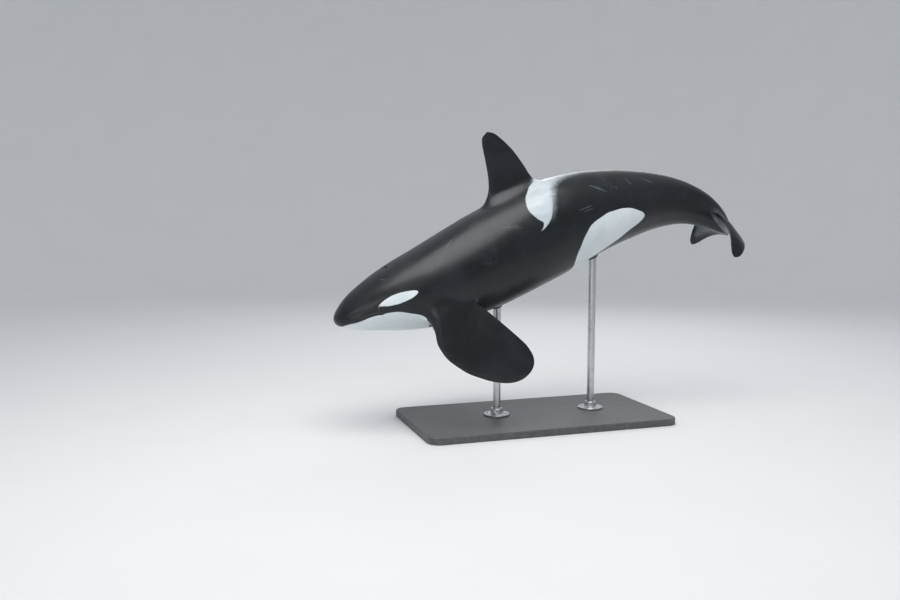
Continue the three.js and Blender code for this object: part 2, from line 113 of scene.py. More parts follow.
def spine(s):
    """point, rearward, left and up directions of the spine at s, in the body's own frame"""
    c = np.clip(s, 0, 1)
    p = np.stack([np.interp(c, _s, _p[:, i]) for i in range(3)], -1)
    a, b, t = (np.interp(c, _s, v) for v in (_a, _b, _t))
    rear = np.stack([np.cos(a) * np.cos(b), -np.sin(b), np.sin(a) * np.cos(b)], -1)
    up = np.stack([-np.sin(a), 0 * a, np.cos(a)], -1)
    left = np.cross(rear, up)
    ct, st = np.cos(t)[..., None], np.sin(t)[..., None]
    return p, rear, left * ct - up * st, up * ct + left * st


def beside(s, left, up):
    s, left, up = np.broadcast_arrays(np.asarray(s, float), left, up)
    p, r, l, u = spine(s)
    return p + l * left[..., None] + u * up[..., None] + r * (s - np.clip(s, 0, 1))[..., None]


def _turned():
    d, b = math.radians(DIVE), math.radians(BANK)
    ry = np.array([[math.cos(d), 0, -math.sin(d)], [0, 1, 0], [math.sin(d), 0, math.cos(d)]])
    rx = np.array([[1, 0, 0], [0, math.cos(b), -math.sin(b)], [0, math.sin(b), math.cos(b)]])
    return ry @ rx


TURNED = _turned()
ANCHOR = spine(np.array(MID_TRUNK))[0]


def room(p):
    """from the body's own frame, in shares of the length, to the row frame in metres"""
    return (p - ANCHOR) * LENGTH @ TURNED.T + TRUNK


def pinch(s):
    return 1 + 0.35 * np.clip((s - 0.55) / 0.3, 0, 1)


def section(s, angle):
    """left and up of the skin at s; angle 0 is the back, 90 degrees the left side, 180 the belly"""
    c, n = np.cos(angle), np.sin(angle)
    return size(3, s) * np.sign(n) * np.abs(n) ** pinch(s), np.where(c >= 0, size(1, s), size(2, s)) * c


# ---------- camera, at the photo's angle and framing ----------
AZIMUTH, ELEVATION, DISTANCE = math.radians(-18), math.radians(6), 11.4
FOCAL = 900.0  # pixels, on a picture 900 x 600
AIM = (527.0, 240.5)  # where the mid-trunk stands in the picture
away = np.array([math.sin(AZIMUTH) * math.cos(ELEVATION), -math.cos(AZIMUTH) * math.cos(ELEVATION), math.sin(ELEVATION)])
sight = -away
across = np.cross(sight, [0, 0, 1])
across /= np.linalg.norm(across)
upright = np.cross(across, sight)
place = TRUNK - sight * DISTANCE - across * ((AIM[0] - 450) / FOCAL * DISTANCE) + upright * ((AIM[1] - 300) / FOCAL * DISTANCE)
camera = bpy.data.objects.new("camera", bpy.data.cameras.new("camera"))
camera.data.sensor_width, camera.data.lens = 36.0, 36.0 * FOCAL / 900
camera.data.clip_end = 300
camera.location = Vector(place)
camera.rotation_euler = Vector(sight).to_track_quat("-Z", "Y").to_euler()
scene.collection.objects.link(camera)
scene.camera = camera


# ---------- mesh helpers ----------
def ease(x):
    x = np.clip(x, 0, 1)
    return x * x * (3 - 2 * x)


def unit(v):
    return v / (np.linalg.norm(v, axis=-1, keepdims=True) + 1e-12)


def new_object(name, verts, faces, smooth=True):
    mesh = bpy.data.meshes.new(name)
    mesh.from_pydata([tuple(v) for v in verts], [], [tuple(int(i) for i in f) for f in faces])
    mesh.update()
    if smooth:
        mesh.polygons.foreach_set("use_smooth", [True] * len(mesh.polygons))
    obj = bpy.data.objects.new(name, mesh)
    scene.collection.objects.link(obj)
    return obj


def arrays(obj):
    """points and triangles of an object with its modifiers"""
    graph = bpy.context.evaluated_depsgraph_get()
    mesh = obj.evaluated_get(graph).to_mesh()
    mesh.calc_loop_triangles()
    v = np.empty(len(mesh.vertices) * 3)
    mesh.vertices.foreach_get("co", v)
    t = np.empty(len(mesh.loop_triangles) * 3, int)
    mesh.loop_triangles.foreach_get("vertices", t)
    obj.evaluated_get(graph).to_mesh_clear()
    return v.reshape(-1, 3), t.reshape(-1, 3)


def loft(rows, first, last):
    """rows of points, each a closed loop, capped at both ends round a middle point"""
    rows = np.asarray(rows)
    r, n, _ = rows.shape
    v = np.concatenate([rows.reshape(-1, 3), [first], [last]])
    i, j = np.meshgrid(np.arange(r - 1), np.arange(n), indexing="ij")
    p, q = i * n + j, i * n + (j + 1) % n
    f = np.concatenate([np.stack([p, q, q + n], -1).reshape(-1, 3), np.stack([p, q + n, p + n], -1).reshape(-1, 3)])
    j = np.arange(n)
    k = (j + 1) % n
    a, b, m = r * n, r * n + 1, (r - 1) * n
    f = np.concatenate([f, np.stack([a + 0 * j, k, j], -1), np.stack([b + 0 * j, m + j, m + k], -1)])
    return v, outward(v, f)


def outward(v, f):
    a, b, c = v[f[:, 0]], v[f[:, 1]], v[f[:, 2]]
    return f if (a * np.cross(b, c)).sum() > 0 else f[:, [0, 2, 1]]


def split_long(f, data, length_of, target_of, rounds=9):
    """splits every edge longer than its target, longest edges first, so that the triangles keep their shape.
    data is one row of numbers for each vertex, and halfway(a, b) gives the new rows"""
    for _ in range(rounds):
        e = np.stack([f[:, [1, 2]], f[:, [2, 0]], f[:, [0, 1]]], 1)  # edge k is opposite corner k
        lo, hi = e.min(-1), e.max(-1)
        key = lo.astype(np.int64) * (len(data) + 1) + hi
        uniq, inv = np.unique(key, return_inverse=True)
        inv = inv.reshape(key.shape)
        ea, eb = (uniq // (len(data) + 1)).astype(int), (uniq % (len(data) + 1)).astype(int)
        mid = halfway(data[ea], data[eb])
        length = length_of(data[ea], data[eb])
        mark = length > target_of(mid)
        if not mark.any():
            break
        le = length[inv]
        longest = le.argmax(1)
        rows = np.arange(len(f))
        while True:
            some = mark[inv].any(1)
            need = some & ~mark[inv[rows, longest]]
            if not need.any():
                break
            mark[inv[rows, longest][need]] = True
        number = np.full(len(uniq), -1)
        number[mark] = len(data) + np.arange(mark.sum())
        data = np.concatenate([data, mid[mark]])
        # turn each triangle so that its longest edge is opposite corner 0
        turn = (longest[:, None] + np.arange(3)) % 3
        t, m = np.take_along_axis(f, turn, 1), np.take_along_axis(number[inv], turn, 1)
        a, b, c = t.T
        m0, m1, m2 = m.T  # on edges bc, ca, ab
        none = m0 < 0
        only = ~none & (m1 < 0) & (m2 < 0)
        with1 = ~none & (m1 >= 0) & (m2 < 0)
        with2 = ~none & (m1 < 0) & (m2 >= 0)
        all3 = ~none & (m1 >= 0) & (m2 >= 0)
        out = [t[none]]
        s = lambda w, *v: out.append(np.stack([x[w] for x in v], -1))
        s(only, a, b, m0); s(only, a, m0, c)
        s(with1, a, b, m0); s(with1, a, m0, m1); s(with1, m1, m0, c)
        s(with2, a, m2, m0); s(with2, m2, b, m0); s(with2, a, m0, c)
        s(all3, a, m2, m1); s(all3, m2, b, m0); s(all3, m1, m0, c); s(all3, m0, m1, m2)
        f = np.concatenate(out)
    return f, data


def halfway(a, b):
    """between two rows of (along, angle, pole): the angle goes the short way, and a pole takes the other's angle"""
    s = (a[:, 0] + b[:, 0]) / 2
    turn = (b[:, 1] - a[:, 1] + math.pi) % (2 * math.pi) - math.pi
    angle = a[:, 1] + turn / 2
    angle = np.where(a[:, 2] > 0, b[:, 1], np.where(b[:, 2] > 0, a[:, 1], angle))
    return np.stack([s, angle, 0 * s], -1)


# ---------- features of the body's skin ----------
EYE_AT, EYE_AROUND, EYE_RADIUS, EYE_PROUD = 0.077, math.radians(80.6), 0.027, 0.007
MOUTH = [(0.0, -0.0165), (0.007, -0.0155), (0.018, -0.0108), (0.037, -0.006), (0.055, -0.0018), (0.07, -0.0012), (0.082, -0.0035)]
MOUTH_END = 0.082
BLOWHOLE_AT, BLOWHOLE_LEFT = 0.128, 0.002
FLIPPER_AT, FLIPPER_AROUND = 0.213, math.radians(116)


def plain_point(s, angle):
    left, up = section(s, angle)
    return room(beside(s, left, up))


def plain_normal(s, angle, d=2e-4):
    u = plain_point(s + d, angle) - plain_point(np.maximum(s - d, 1e-5), angle)
    v = plain_point(s, angle + 2e-3) - plain_point(s, angle - 2e-3)
    n = unit(np.cross(u, v))
    out = plain_point(s, angle) - room(beside(s, 0 * s, 0 * s))
    return n * np.sign((n * out).sum(-1, keepdims=True) + 1e-12)


def eye_frame(side):
    """centre of the ball, and outward, rearward and upward directions at the eye"""
    s, a = np.array([EYE_AT]), np.array([EYE_AROUND * side])
    p, n = plain_point(s, a)[0], plain_normal(s, a)[0]
    _, rear, _, up = spine(s)
    rear = (rear @ TURNED.T)[0]
    rear = unit(rear - n * (rear @ n))
    top = np.cross(n, rear)
    if top[2] < 0:
        top = -top
    tilt = math.radians(14)  # the front corner is lower
    rear, top = rear * math.cos(tilt) + top * math.sin(tilt), top * math.cos(tilt) - rear * math.sin(tilt)
    return p + n * (EYE_PROUD - EYE_RADIUS), n, rear, top


EYES = {1: eye_frame(1), -1: eye_frame(-1)}


def mouth_gap(s, up):
    """height over the mouth line in metres, and how far past its corner"""
    line = smooth_curve([m[0] for m in MOUTH], [m[1] for m in MOUTH], np.clip(s, 0, MOUTH_END))
    return (up - line) * LENGTH, (s - MOUTH_END) * LENGTH


def relief(s, angle, p, n):
    """metres that the skin stands over the plain body"""
    left, up = section(s, angle)
    x, y, z = s * LENGTH, left * LENGTH, up * LENGTH
    d = np.zeros_like(s)
    # slow swells of muscle and blubber
    d += 0.0022 * np.sin(2.1 * x + 1.3 * z) * np.sin(3.3 * z + 1.1 * y + 0.8) * ease((s - 0.1) / 0.2)
    d += 0.0012 * np.sin(5.3 * x + 2.2 * y + 1.0) * np.sin(4.7 * z - 2.6 * y) * ease((s - 0.15) / 0.2)
    # the melon over a short beak: a soft crease above the upper lip, round the front
    over, past = mouth_gap(s, up)
    front = 1 - ease((s - 0.03) / 0.035)
    d -= 0.0045 * np.exp(-(((over - 0.095) / 0.038) ** 2)) * front * ease((s - 0.012) / 0.02)
    d += 0.006 * np.exp(-(((over - 0.03) / 0.03) ** 2)) * front
    d += 0.008 * np.exp(-(((over - 0.028) / 0.042) ** 2)) * (1 - ease(s / 0.022))
    # mouth: a groove with a rolled upper lip and a thinner lower one
    along = np.where(past > 0, np.exp(-((past / 0.012) ** 2)), 1.0)
    steep = np.clip(np.abs(n @ np.array([0, -1, 0.0])) + 0.25, 0.35, 1)
    gap = over / steep
    depth = 0.011 * (0.55 + 0.45 * ease(s / 0.03))
    d -= depth * np.exp(-((gap / 0.0075) ** 2)) * along
    d += 0.0055 * np.exp(-(((gap - 0.019) / 0.012) ** 2)) * along
    d += 0.0035 * np.exp(-(((gap + 0.017) / 0.011) ** 2)) * along
    # the corner's little fold, turned down and back
    cx, cz = (s - MOUTH_END) * LENGTH, (up + 0.0035) * LENGTH
    fold = np.abs((cx - 0.02) * 0.75 + (cz + 0.012) * 0.66)
    d -= 0.004 * np.exp(-((fold / 0.006) ** 2)) * np.exp(-(((cx - 0.015) / 0.03) ** 2) - (((cz + 0.01) / 0.03) ** 2))
    # eyes: almond opening between rolled lids, with a fold over and one under
    for side, (ball, out, rear, top) in EYES.items():
        q = p - ball
        a, b = q @ rear * 1000, q @ top * 1000
        near = (q @ out > 0) & (np.hypot(a, b) < 160)
        lean = b - 0.0035 * a * a * 0.3
        r = np.hypot(a / 1.38, lean / np.where(lean > 0, 0.98, 0.9))
        t = ease((r - 13.0) / 3.6)
        h = -0.0125 * (1 - t) + 0.0052 * t * np.exp(-((np.maximum(r - 17.5, 0) / 11.0) ** 2))
        h -= 0.0026 * np.exp(-(((r - 29) / 4.0) ** 2)) * (b > 2)
        h -= 0.0016 * np.exp(-(((r - 33) / 4.5) ** 2)) * (b <= 2)
        h += 0.0060 * np.exp(-(((r - 46) / 15.0) ** 2)) * ease(b / 25)  # brow
        d += np.where(near, h, 0)
        # ear opening, a pinhole behind the eye
        ear = np.hypot(a - 150, b + 6)
        d -= np.where(q @ out > -0.1, 0.005 * np.exp(-((ear / 6.0) ** 2)), 0)
    # blowhole: a crescent whose ends point forward, in a soft dish, a little left of the middle
    bx, by = (s - BLOWHOLE_AT) * LENGTH, (left - BLOWHOLE_LEFT) * LENGTH
    on_top = np.cos(angle) > 0.5
    line = bx + 6.5 * by * by
    end = np.exp(-((np.maximum(np.abs(by) - 0.045, 0) / 0.008) ** 2))
    d += np.where(on_top, -0.007 * np.exp(-(bx * bx + by * by) / 0.075**2) - 0.016 * np.exp(-((line / 0.0075) ** 2)) * end
                  + 0.006 * np.exp(-(((line - 0.02) / 0.012) ** 2)) * end + 0.004 * np.exp(-(((line + 0.018) / 0.012) ** 2)) * end, 0)
    # soft furrow between the back's muscle and the flank, along the tail stock
    window = ease((s - 0.6) / 0.12) * (1 - ease((s - 0.9) / 0.07))
    turn = np.abs((np.degrees(angle) + 180) % 360 - 180)
    d -= 0.009 * np.exp(-(((turn - 62) / 15.0) ** 2)) * window
    d -= 0.006 * np.exp(-(((turn - 122) / 14.0) ** 2)) * window
    # shallow hollow behind the shoulder and in the armpit
    d -= 0.010 * np.exp(-(((s - 0.285) / 0.03) ** 2) - (((turn - 122) / 16.0) ** 2))
    # throat creases
    for k, where in enumerate((0.118, 0.137, 0.158)):
        d -= 0.0022 * np.exp(-(((x - where * LENGTH + 0.25 * y * y) / 0.008) ** 2)) * np.exp(-(((turn - 180) / (26 - 3 * k)) ** 2))
    # belly: navel, the slit and the vent
    mid = np.abs(y)
    below = np.cos(angle) < -0.5
    d += np.where(below, -0.007 * np.exp(-((mid / 0.012) ** 2) - (((s - 0.49) / 0.0035) ** 2)), 0)
    slit = ease((s - 0.612) / 0.006) * (1 - ease((s - 0.648) / 0.006))
    d += np.where(below, slit * (-0.008 * np.exp(-((mid / 0.006) ** 2)) + 0.003 * np.exp(-(((mid - 0.017) / 0.011) ** 2))), 0)
    d += np.where(below, -0.007 * np.exp(-((mid / 0.008) ** 2) - (((s - 0.668) / 0.0026) ** 2)), 0)
    return d


PUSH = TURNED @ (-spine(np.array(0.0))[1] * math.cos(math.radians(38)) + spine(np.array(0.0))[3] * math.sin(math.radians(38)))


def lip_push(s, up):
    """how far the front of the snout stands out past the plain shape, forward and a little up"""
    over, _ = mouth_gap(s, up)
    return 0.0563 * (1 - ease(s / 0.05))[:, None] * (1 - ease((over - 0.05) / 0.20))[:, None] * PUSH


def skin_point(data):
    s, angle, pole = data[:, 0], data[:, 1], data[:, 2]
    p = plain_point(s, angle)
    n = plain_normal(np.maximum(s, 6e-4), angle)
    nose = -(spine(np.zeros(1))[1] @ TURNED.T)[0]
    n = np.where((s < 6e-4)[:, None], nose, n)
    return p + n * relief(s, angle, p, n)[:, None] + lip_push(s, section(s, angle)[1])


def wanted(data):
    """longest edge, in metres, that each place on the body may have"""
    s, angle = data[:, 0], data[:, 1]
    left, up = section(s, angle)
    p = plain_point(s, angle)
    size_ = 0.033 - 0.017 * (1 - ease((s - 0.1) / 0.1)) - 0.012 * ease((s - 0.86) / 0.08)
    over, past = mouth_gap(s, up)
    reach = np.hypot(over, np.maximum(past, 0))
    size_ = np.minimum(size_, 0.0062 + 0.22 * np.maximum(reach - 0.028, 0))
    for ball, out, rear, top in EYES.values():
        size_ = np.minimum(size_, 0.0036 + 0.16 * np.maximum(np.linalg.norm(p - ball, axis=1) - 0.045, 0))
    bx, by = (s - BLOWHOLE_AT) * LENGTH, (left - BLOWHOLE_LEFT) * LENGTH
    top = np.cos(angle) > 0
    size_ = np.where(top, np.minimum(size_, 0.0055 + 0.2 * np.maximum(np.hypot(bx, by) - 0.06, 0)), size_)
    belly_ = np.hypot(left * LENGTH, np.maximum(np.abs(s - 0.64) - 0.03, 0) * LENGTH)
    size_ = np.where(~top, np.minimum(size_, 0.0065 + 0.25 * np.maximum(belly_ - 0.015, 0)), size_)
    hook = np.hypot((s - 0.462) * LENGTH, (np.abs((angle + math.pi) % (2 * math.pi) - math.pi) - math.radians(69)) * 0.55)
    return np.minimum(size_, 0.012 + 0.2 * np.maximum(hook - 0.10, 0))


def edge_length(a, b):
    return np.linalg.norm(plain_point(a[:, 0], a[:, 1]) - plain_point(b[:, 0], b[:, 1]), axis=1)


def make_body():
    rings, sides = 110, 72
    s = (np.arange(1, rings) / rings) ** 1.3
    s, a = np.meshgrid(s, np.arange(sides) / sides * 2 * math.pi, indexing="ij")
    data = np.stack([s.ravel(), a.ravel(), 0 * a.ravel()], -1)
    data = np.concatenate([data, [[0, 0, 1], [1, 0, 1]]])
    n, r = sides, rings - 1
    i, j = np.meshgrid(np.arange(r - 1), np.arange(n), indexing="ij")
    p, q = i * n + j, i * n + (j + 1) % n
    f = np.concatenate([np.stack([p, q, q + n], -1).reshape(-1, 3), np.stack([p, q + n, p + n], -1).reshape(-1, 3)])
    j = np.arange(n)
    k = (j + 1) % n
    f = np.concatenate([f, np.stack([r * n + 0 * j, k, j], -1), np.stack([r * n + 1 + 0 * j, (r - 1) * n + j, (r - 1) * n + k], -1)])
    f, data = split_long(f, data, edge_length, wanted)
    v = skin_point(data)
    return v, outward(v, f)


# ---------- fins ----------
FIN = dict(start=0.381, end=0.509, foot=0.112, height=0.142, sink=0.026, thick=0.019)
FIN_FRONT = [(0, 0.005), (0.1, 0.115), (0.2, 0.175), (0.37, 0.228), (0.62, 0.273), (0.85, 0.312), (0.94, 0.345), (1, 0.45)]
FIN_REAR = [(0, 1.02), (0.05, 0.93), (0.14, 0.88), (0.33, 0.828), (0.61, 0.735), (0.83, 0.622), (0.94, 0.545), (1, 0.45)]
FLIPPER = dict(length=0.2125, width=0.132, thick=0.022, sink=0.035)
HELD = {1: (28, 68), -1: (50, 52)}  # sweep and droop, in degrees
FLIPPER_FRONT = [(-0.2, -0.3), (0, -0.42), (0.12, -0.575), (0.3, -0.652), (0.47, -0.632), (0.63, -0.555), (0.78, -0.445), (0.9, -0.305), (0.96, -0.185), (0.985, -0.095), (0.996, -0.025), (1, 0.045)]
FLIPPER_REAR = [(-0.2, 0.36), (0, 0.36), (0.12, 0.358), (0.3, 0.352), (0.47, 0.348), (0.63, 0.344), (0.78, 0.335), (0.9, 0.285), (0.96, 0.218), (0.985, 0.158), (0.996, 0.105), (1, 0.045)]
FLUKE = dict(half=0.13, thick=0.02, curl=90, power=2, yaw=3, roll=3)
FLUKE_FRONT = [(0, -0.098), (0.08, -0.09), (0.2, -0.078), (0.4, -0.063), (0.6, -0.048), (0.8, -0.029), (0.92, -0.0155), (0.98, -0.006), (1, 0.003)]
FLUKE_REAR = [(0, 0), (0.04, 0.007), (0.12, 0.013), (0.3, 0.0145), (0.5, 0.0135), (0.7, 0.013), (0.86, 0.013), (0.95, 0.01), (1, 0.0035)]


def blade_half(u):
    return np.sqrt(np.maximum(u, 0)) * np.maximum(1 - u, 0) ** 0.82 * 2.02 * 0.575


def blade(front, rear, thick, sides, put, lean=0.0):
    """one loop of a blade: round in front, thin behind; points crowd towards both edges"""
    t = np.arange(sides) / sides * 2 * math.pi
    u = (1 - np.cos(t)) / 2
    y = np.sign(np.round(np.sin(t), 9)) * np.maximum(blade_half(u), 0.09 * np.abs(np.sin(t))) * thick
    return put((front + rear) / 2 - np.cos(t) * max(rear - front, 0) / 2, y + lean)


def heights(n, power=1.7):
    return 1 - (1 - np.arange(n) / n) ** power


def ripple(k, x, seed, size_=0.0006):
    """small unevenness of a blade, in shares of the length"""
    return size_ * (np.sin(23 * k + 9 * x / 0.1 + seed) * np.sin(31 * k - 5 * x / 0.1 + 2.1 * seed))


def make_fin():
    a = beside(FIN["start"], 0, FIN["foot"])
    b = beside(FIN["end"], 0, size(1, FIN["end"]))
    ex = unit(b - a)
    ey, ez = np.array([0, -1.0, 0]), np.array([-ex[2], 0, ex[0]])
    H = FIN["height"]
    rows = []
    for k in np.concatenate([np.linspace(-FIN["sink"] / H, 0, 4)[:-1], heights(44, 1.7)]):
        kk = min(max(k, 0), 1)
        front, rear = float(pairs(FIN_FRONT, kk)), float(pairs(FIN_REAR, kk))
        flare = 1 + 1.5 * max(1 - kk / 0.16, 0) ** 2.2
        thick = FIN["thick"] * (1 - 0.72 * kk) * flare * min(1, (max(rear - front, 0) / 0.5) ** 0.6)
        lean = 0.0022 * math.sin(5 * kk) * kk  # a slight lean of the blade, as real ones have
        rows.append(blade(front * H, rear * H, thick, 48, lambda x, y: room(
            a + x[:, None] * ex + (y + lean + ripple(k, x, 1.0, 0.0003))[:, None] * ey + k * H * ez)))
    mid = lambda k, x: room(a + x * H * ex + k * H * ez)
    return loft(rows, mid(-FIN["sink"] / H, 0.5), mid(1, 0.45))


def make_flipper(side):
    s = FLIPPER_AT
    root = beside(s, size(3, s) * math.sin(FLIPPER_AROUND), size(2, s) * math.cos(FLIPPER_AROUND))
    _, rear_, _, up_ = spine(np.array(s))
    sweep, droop = (math.radians(v) for v in HELD[side])
    left = np.array([0, -1.0, 0])
    span = rear_ * math.sin(sweep) + left * math.cos(droop) * math.cos(sweep) - up_ * math.sin(droop) * math.cos(sweep)
    chord = unit(rear_ - span * (rear_ @ span))
    flat = np.cross(span, chord)
    mirror = np.array([1, side, 1.0])
    W, N = FLIPPER["width"], FLIPPER["length"]

    def put(k, x, y):
        x, y = np.atleast_1d(x), np.atleast_1d(y)
        cup = -0.010 * max(k, 0) ** 2 + 0.004 * math.sin(math.pi * min(max(k, 0), 1))  # the blade is slightly cupped along its length
        return room((root + k * N * span + x[:, None] * chord + (y + cup)[:, None] * flat) * mirror)

    rows = []
    sink = -FLIPPER["sink"] / N
    for k in np.concatenate([np.linspace(sink, 0, 5)[:-1], heights(48, 1.7)]):
        front, rear, kk = float(pairs(FLIPPER_FRONT, k)) * W, float(pairs(FLIPPER_REAR, k)) * W, min(max(k, 0), 1)
        flare = 1 + 0.75 * max(1 - kk / 0.22, 0) ** 2
        thick = FLIPPER["thick"] * (1 - 0.68 * kk) * flare * min(1, (max(rear - front, 0) / (0.5 * W)) ** 0.7)
        rows.append(blade(front, rear, thick, 52, lambda x, y: put(k, x, y + ripple(k, x, 2.0 + side, 0.0004))))
    return loft(rows, put(sink, 0, 0)[0], put(1, 0.045 * W, 0)[0])


def make_fluke(side):
    _, rear_, left_, up_ = (v for v in spine(np.array(1.0)))
    y_, r_ = math.radians(FLUKE["yaw"]), math.radians(FLUKE["roll"])
    rear_, left_, up_ = (rear_ * math.cos(y_) + left_ * math.sin(y_) * math.cos(r_) - up_ * math.sin(y_) * math.sin(r_),
                         -rear_ * math.sin(y_) + left_ * math.cos(y_) * math.cos(r_) - up_ * math.cos(y_) * math.sin(r_),
                         left_ * math.sin(r_) + up_ * math.cos(r_))
    base = beside(1.0, 0, 0)
    out = left_ * side
    grid = (np.arange(400) + 0.5) / 400

    def put(k, x, y):
        x, y = np.atleast_1d(x), np.atleast_1d(y)
        if k < 0:
            o, u, b = k, 0.0, 0.0
        else:
            turn = np.radians(FLUKE["curl"]) * (grid * k) ** FLUKE["power"]
            o, u, b = np.cos(turn).mean() * k, -np.sin(turn).mean() * k, math.radians(FLUKE["curl"]) * k ** FLUKE["power"]
        # the trailing edge is swept a little up by the stroke
        droop = 0.22 * np.maximum(x + 0.02, 0) * max(k, 0)
        return room(base + out * o * FLUKE["half"] + up_ * u * FLUKE["half"] + x[:, None] * rear_ + (y + droop)[:, None] * (up_ * math.cos(b) + out * math.sin(b)))

    rows = []
    for k in np.concatenate([[-0.06, -0.03], heights(46, 1.6)]):
        kk = max(k, 0)
        front, rear = float(pairs(FLUKE_FRONT, kk)), float(pairs(FLUKE_REAR, kk))
        c = max(rear - front, 0)
        flare = 1 + 0.35 * max(1 - kk / 0.3, 0) ** 2
        thick = FLUKE["thick"] * (1 - 0.75 * kk) * flare * min(1, (c / 0.05) ** 0.7)
        rows.append(blade(front, rear, thick, 48, lambda x, y: put(k, x, y + ripple(kk, x, 4.0 + side, 0.0003) + (0.00005 if side < 0 else 0.0))))
    return loft(rows, put(-0.06, -0.04, 0)[0], put(1, 0.0033, 0)[0])


# ---------- one skin ----------
def union(name, pieces):
    objs = [new_object(f"{name}_{i}", v, f) for i, (v, f) in enumerate(pieces)]
    whole = objs[0]
    for other in objs[1:]:
        m = whole.modifiers.new("join", "BOOLEAN")
        m.operation, m.object = "UNION", other
        m.solver = "MANIFOLD" if "MANIFOLD" in {e.identifier for e in m.bl_rna.properties["solver"].enum_items} else "EXACT"
    v, t = arrays(whole)
    for o in objs:
        mesh = o.data
        bpy.data.objects.remove(o)
        bpy.data.meshes.remove(mesh)
    return v, t


def tidy(v, f, least, where=None):
    """collapses edges shorter than least, only between points marked in where, and counts open edges"""
    bm = bmesh.new()
    for p in v:
        bm.verts.new(p)
    bm.verts.ensure_lookup_table()
    for t in f:
        try:
            bm.faces.new([bm.verts[i] for i in t])
        except ValueError:
            pass
    bm.verts.index_update()
    mark = np.ones(len(v), bool) if where is None else where
    short = [e for e in bm.edges if mark[e.verts[0].index] and mark[e.verts[1].index]]
    bmesh.ops.dissolve_degenerate(bm, edges=short, dist=least)
    loose = [p for p in bm.verts if not p.link_faces]
    bmesh.ops.delete(bm, geom=loose, context="VERTS")
    bmesh.ops.triangulate(bm, faces=[t for t in bm.faces if len(t.verts) > 3])
    bm.verts.index_update()
    v = np.array([p.co for p in bm.verts])
    f = np.array([[p.index for p in t.verts] for t in bm.faces])
    open_edges = sum(1 for e in bm.edges if len(e.link_faces) != 2)
    bm.free()
    return v, f, open_edges


def neighbours(n, f):
    from_, to = f[:, [0, 1, 2]].ravel(), f[:, [1, 2, 0]].ravel()
    key = np.unique(np.minimum(from_, to).astype(np.int64) * n + np.maximum(from_, to))
    a, b = (key // n).astype(int), (key % n).astype(int)
    return a, b


def soften(v, f, weight, rounds, strength=0.6):
    a, b = neighbours(len(v), f)
    count = np.bincount(a, minlength=len(v)) + np.bincount(b, minlength=len(v))
    w = (weight * strength)[:, None]
    for _ in range(rounds):
        total = np.stack([np.bincount(a, v[b, i], len(v)) + np.bincount(b, v[a, i], len(v)) for i in range(3)], -1)
        v = v + w * (total / np.maximum(count, 1)[:, None] - v)
    return v


def distance_to(v, tree, reach):
    out = np.full(len(v), reach)
    for i, p in enumerate(v):
        hit = tree.find_nearest(Vector(p), reach)
        if hit[0] is not None:
            out[i] = hit[3]
    return out


body_v, body_f = make_body()
blades = {"fin": make_fin(), "flipper_l": make_flipper(1), "flipper_r": make_flipper(-1), "fluke_l": make_fluke(1), "fluke_r": make_fluke(-1)}
v, f = union("skin", [(body_v, body_f)] + list(blades.values()))

# fillets where the fins leave the body: near each meeting the skin is relaxed, less and less with distance
body_tree = BVHTree.FromPolygons([tuple(p) for p in body_v], [tuple(int(i) for i in t) for t in body_f])
fin_v, fin_f, start = [], [], 0
for bv, bf in blades.values():
    fin_v.append(bv)
    fin_f.append(bf + start)
    start += len(bv)
fin_v, fin_f = np.concatenate(fin_v), np.concatenate(fin_f)
fin_tree = BVHTree.FromPolygons([tuple(p) for p in fin_v], [tuple(int(i) for i in t) for t in fin_f])
REACH = 0.13


def off_meeting(v):
    """distance of each point from the nearest line where a fin meets the body"""
    return np.maximum(distance_to(v, body_tree, REACH), distance_to(v, fin_tree, REACH))


v, f, _ = tidy(v, f, 0.003, off_meeting(v) < 0.006)
meeting = off_meeting(v)
for reach, rounds in ((0.10, 26), (0.045, 16)):
    v = soften(v, f, ease(1 - meeting / reach), rounds)
v, f, open_edges = tidy(v, f, 0.0004)
print("skin", len(v), "points", len(f), "triangles", open_edges, "open edges")


# ---------- body coordinates of every point of the skin ----------
def body_coordinates(p):
    q = (p - TRUNK) @ TURNED / LENGTH + ANCHOR
    rough = np.linspace(0, 1, 241)
    centre = spine(rough)[0]
    s = np.empty(len(q))
    for i in range(0, len(q), 4000):
        s[i:i + 4000] = rough[((q[i:i + 4000, None] - centre) ** 2).sum(-1).argmin(1)]
    for _ in range(12):
        c, rear, left, up = spine(s)
        s = s + 0.7 * (((q - c) * rear).sum(-1) - (s - np.clip(s, 0, 1)))
        s = np.clip(s, -0.05, 1.1)
    c, rear, left, up = spine(s)
    return s, ((q - c) * left).sum(-1), ((q - c) * up).sum(-1)


# length round the body from the back, on a grid of places along and angles
GRID_S, GRID_A = np.linspace(0, 1, 301), np.radians(np.linspace(0, 180, 181))
_gs, _ga = np.meshgrid(GRID_S, GRID_A, indexing="ij")
_gl, _gu = section(_gs, _ga)
ROUND = np.concatenate([np.zeros((301, 1)), np.cumsum(np.hypot(np.diff(_gl, axis=1), np.diff(_gu, axis=1)), 1)], 1)


def unrolled(s, left, up):
    """distance round the body from the back and from the belly, in shares of the length"""
    c = np.clip(s, 0, 1)
    high = np.where(up >= 0, size(1, c), size(2, c))
    sine = np.clip(np.abs(left) / np.maximum(size(3, c), 1e-6), 0, 1.5) ** (1 / pinch(c))
    a = np.arctan2(sine, up / np.maximum(high, 1e-6))
    i = np.clip(c * 300, 0, 299.999)
    j = np.clip(np.degrees(a), 0, 179.999)
    i0, j0 = i.astype(int), j.astype(int)
    u, w = i - i0, j - j0
    r = (ROUND[i0, j0] * (1 - w) + ROUND[i0, j0 + 1] * w) * (1 - u) + (ROUND[i0 + 1, j0] * (1 - w) + ROUND[i0 + 1, j0 + 1] * w) * u
    full = ROUND[i0, 180] * (1 - u) + ROUND[i0 + 1, 180] * u
    return r, full - r


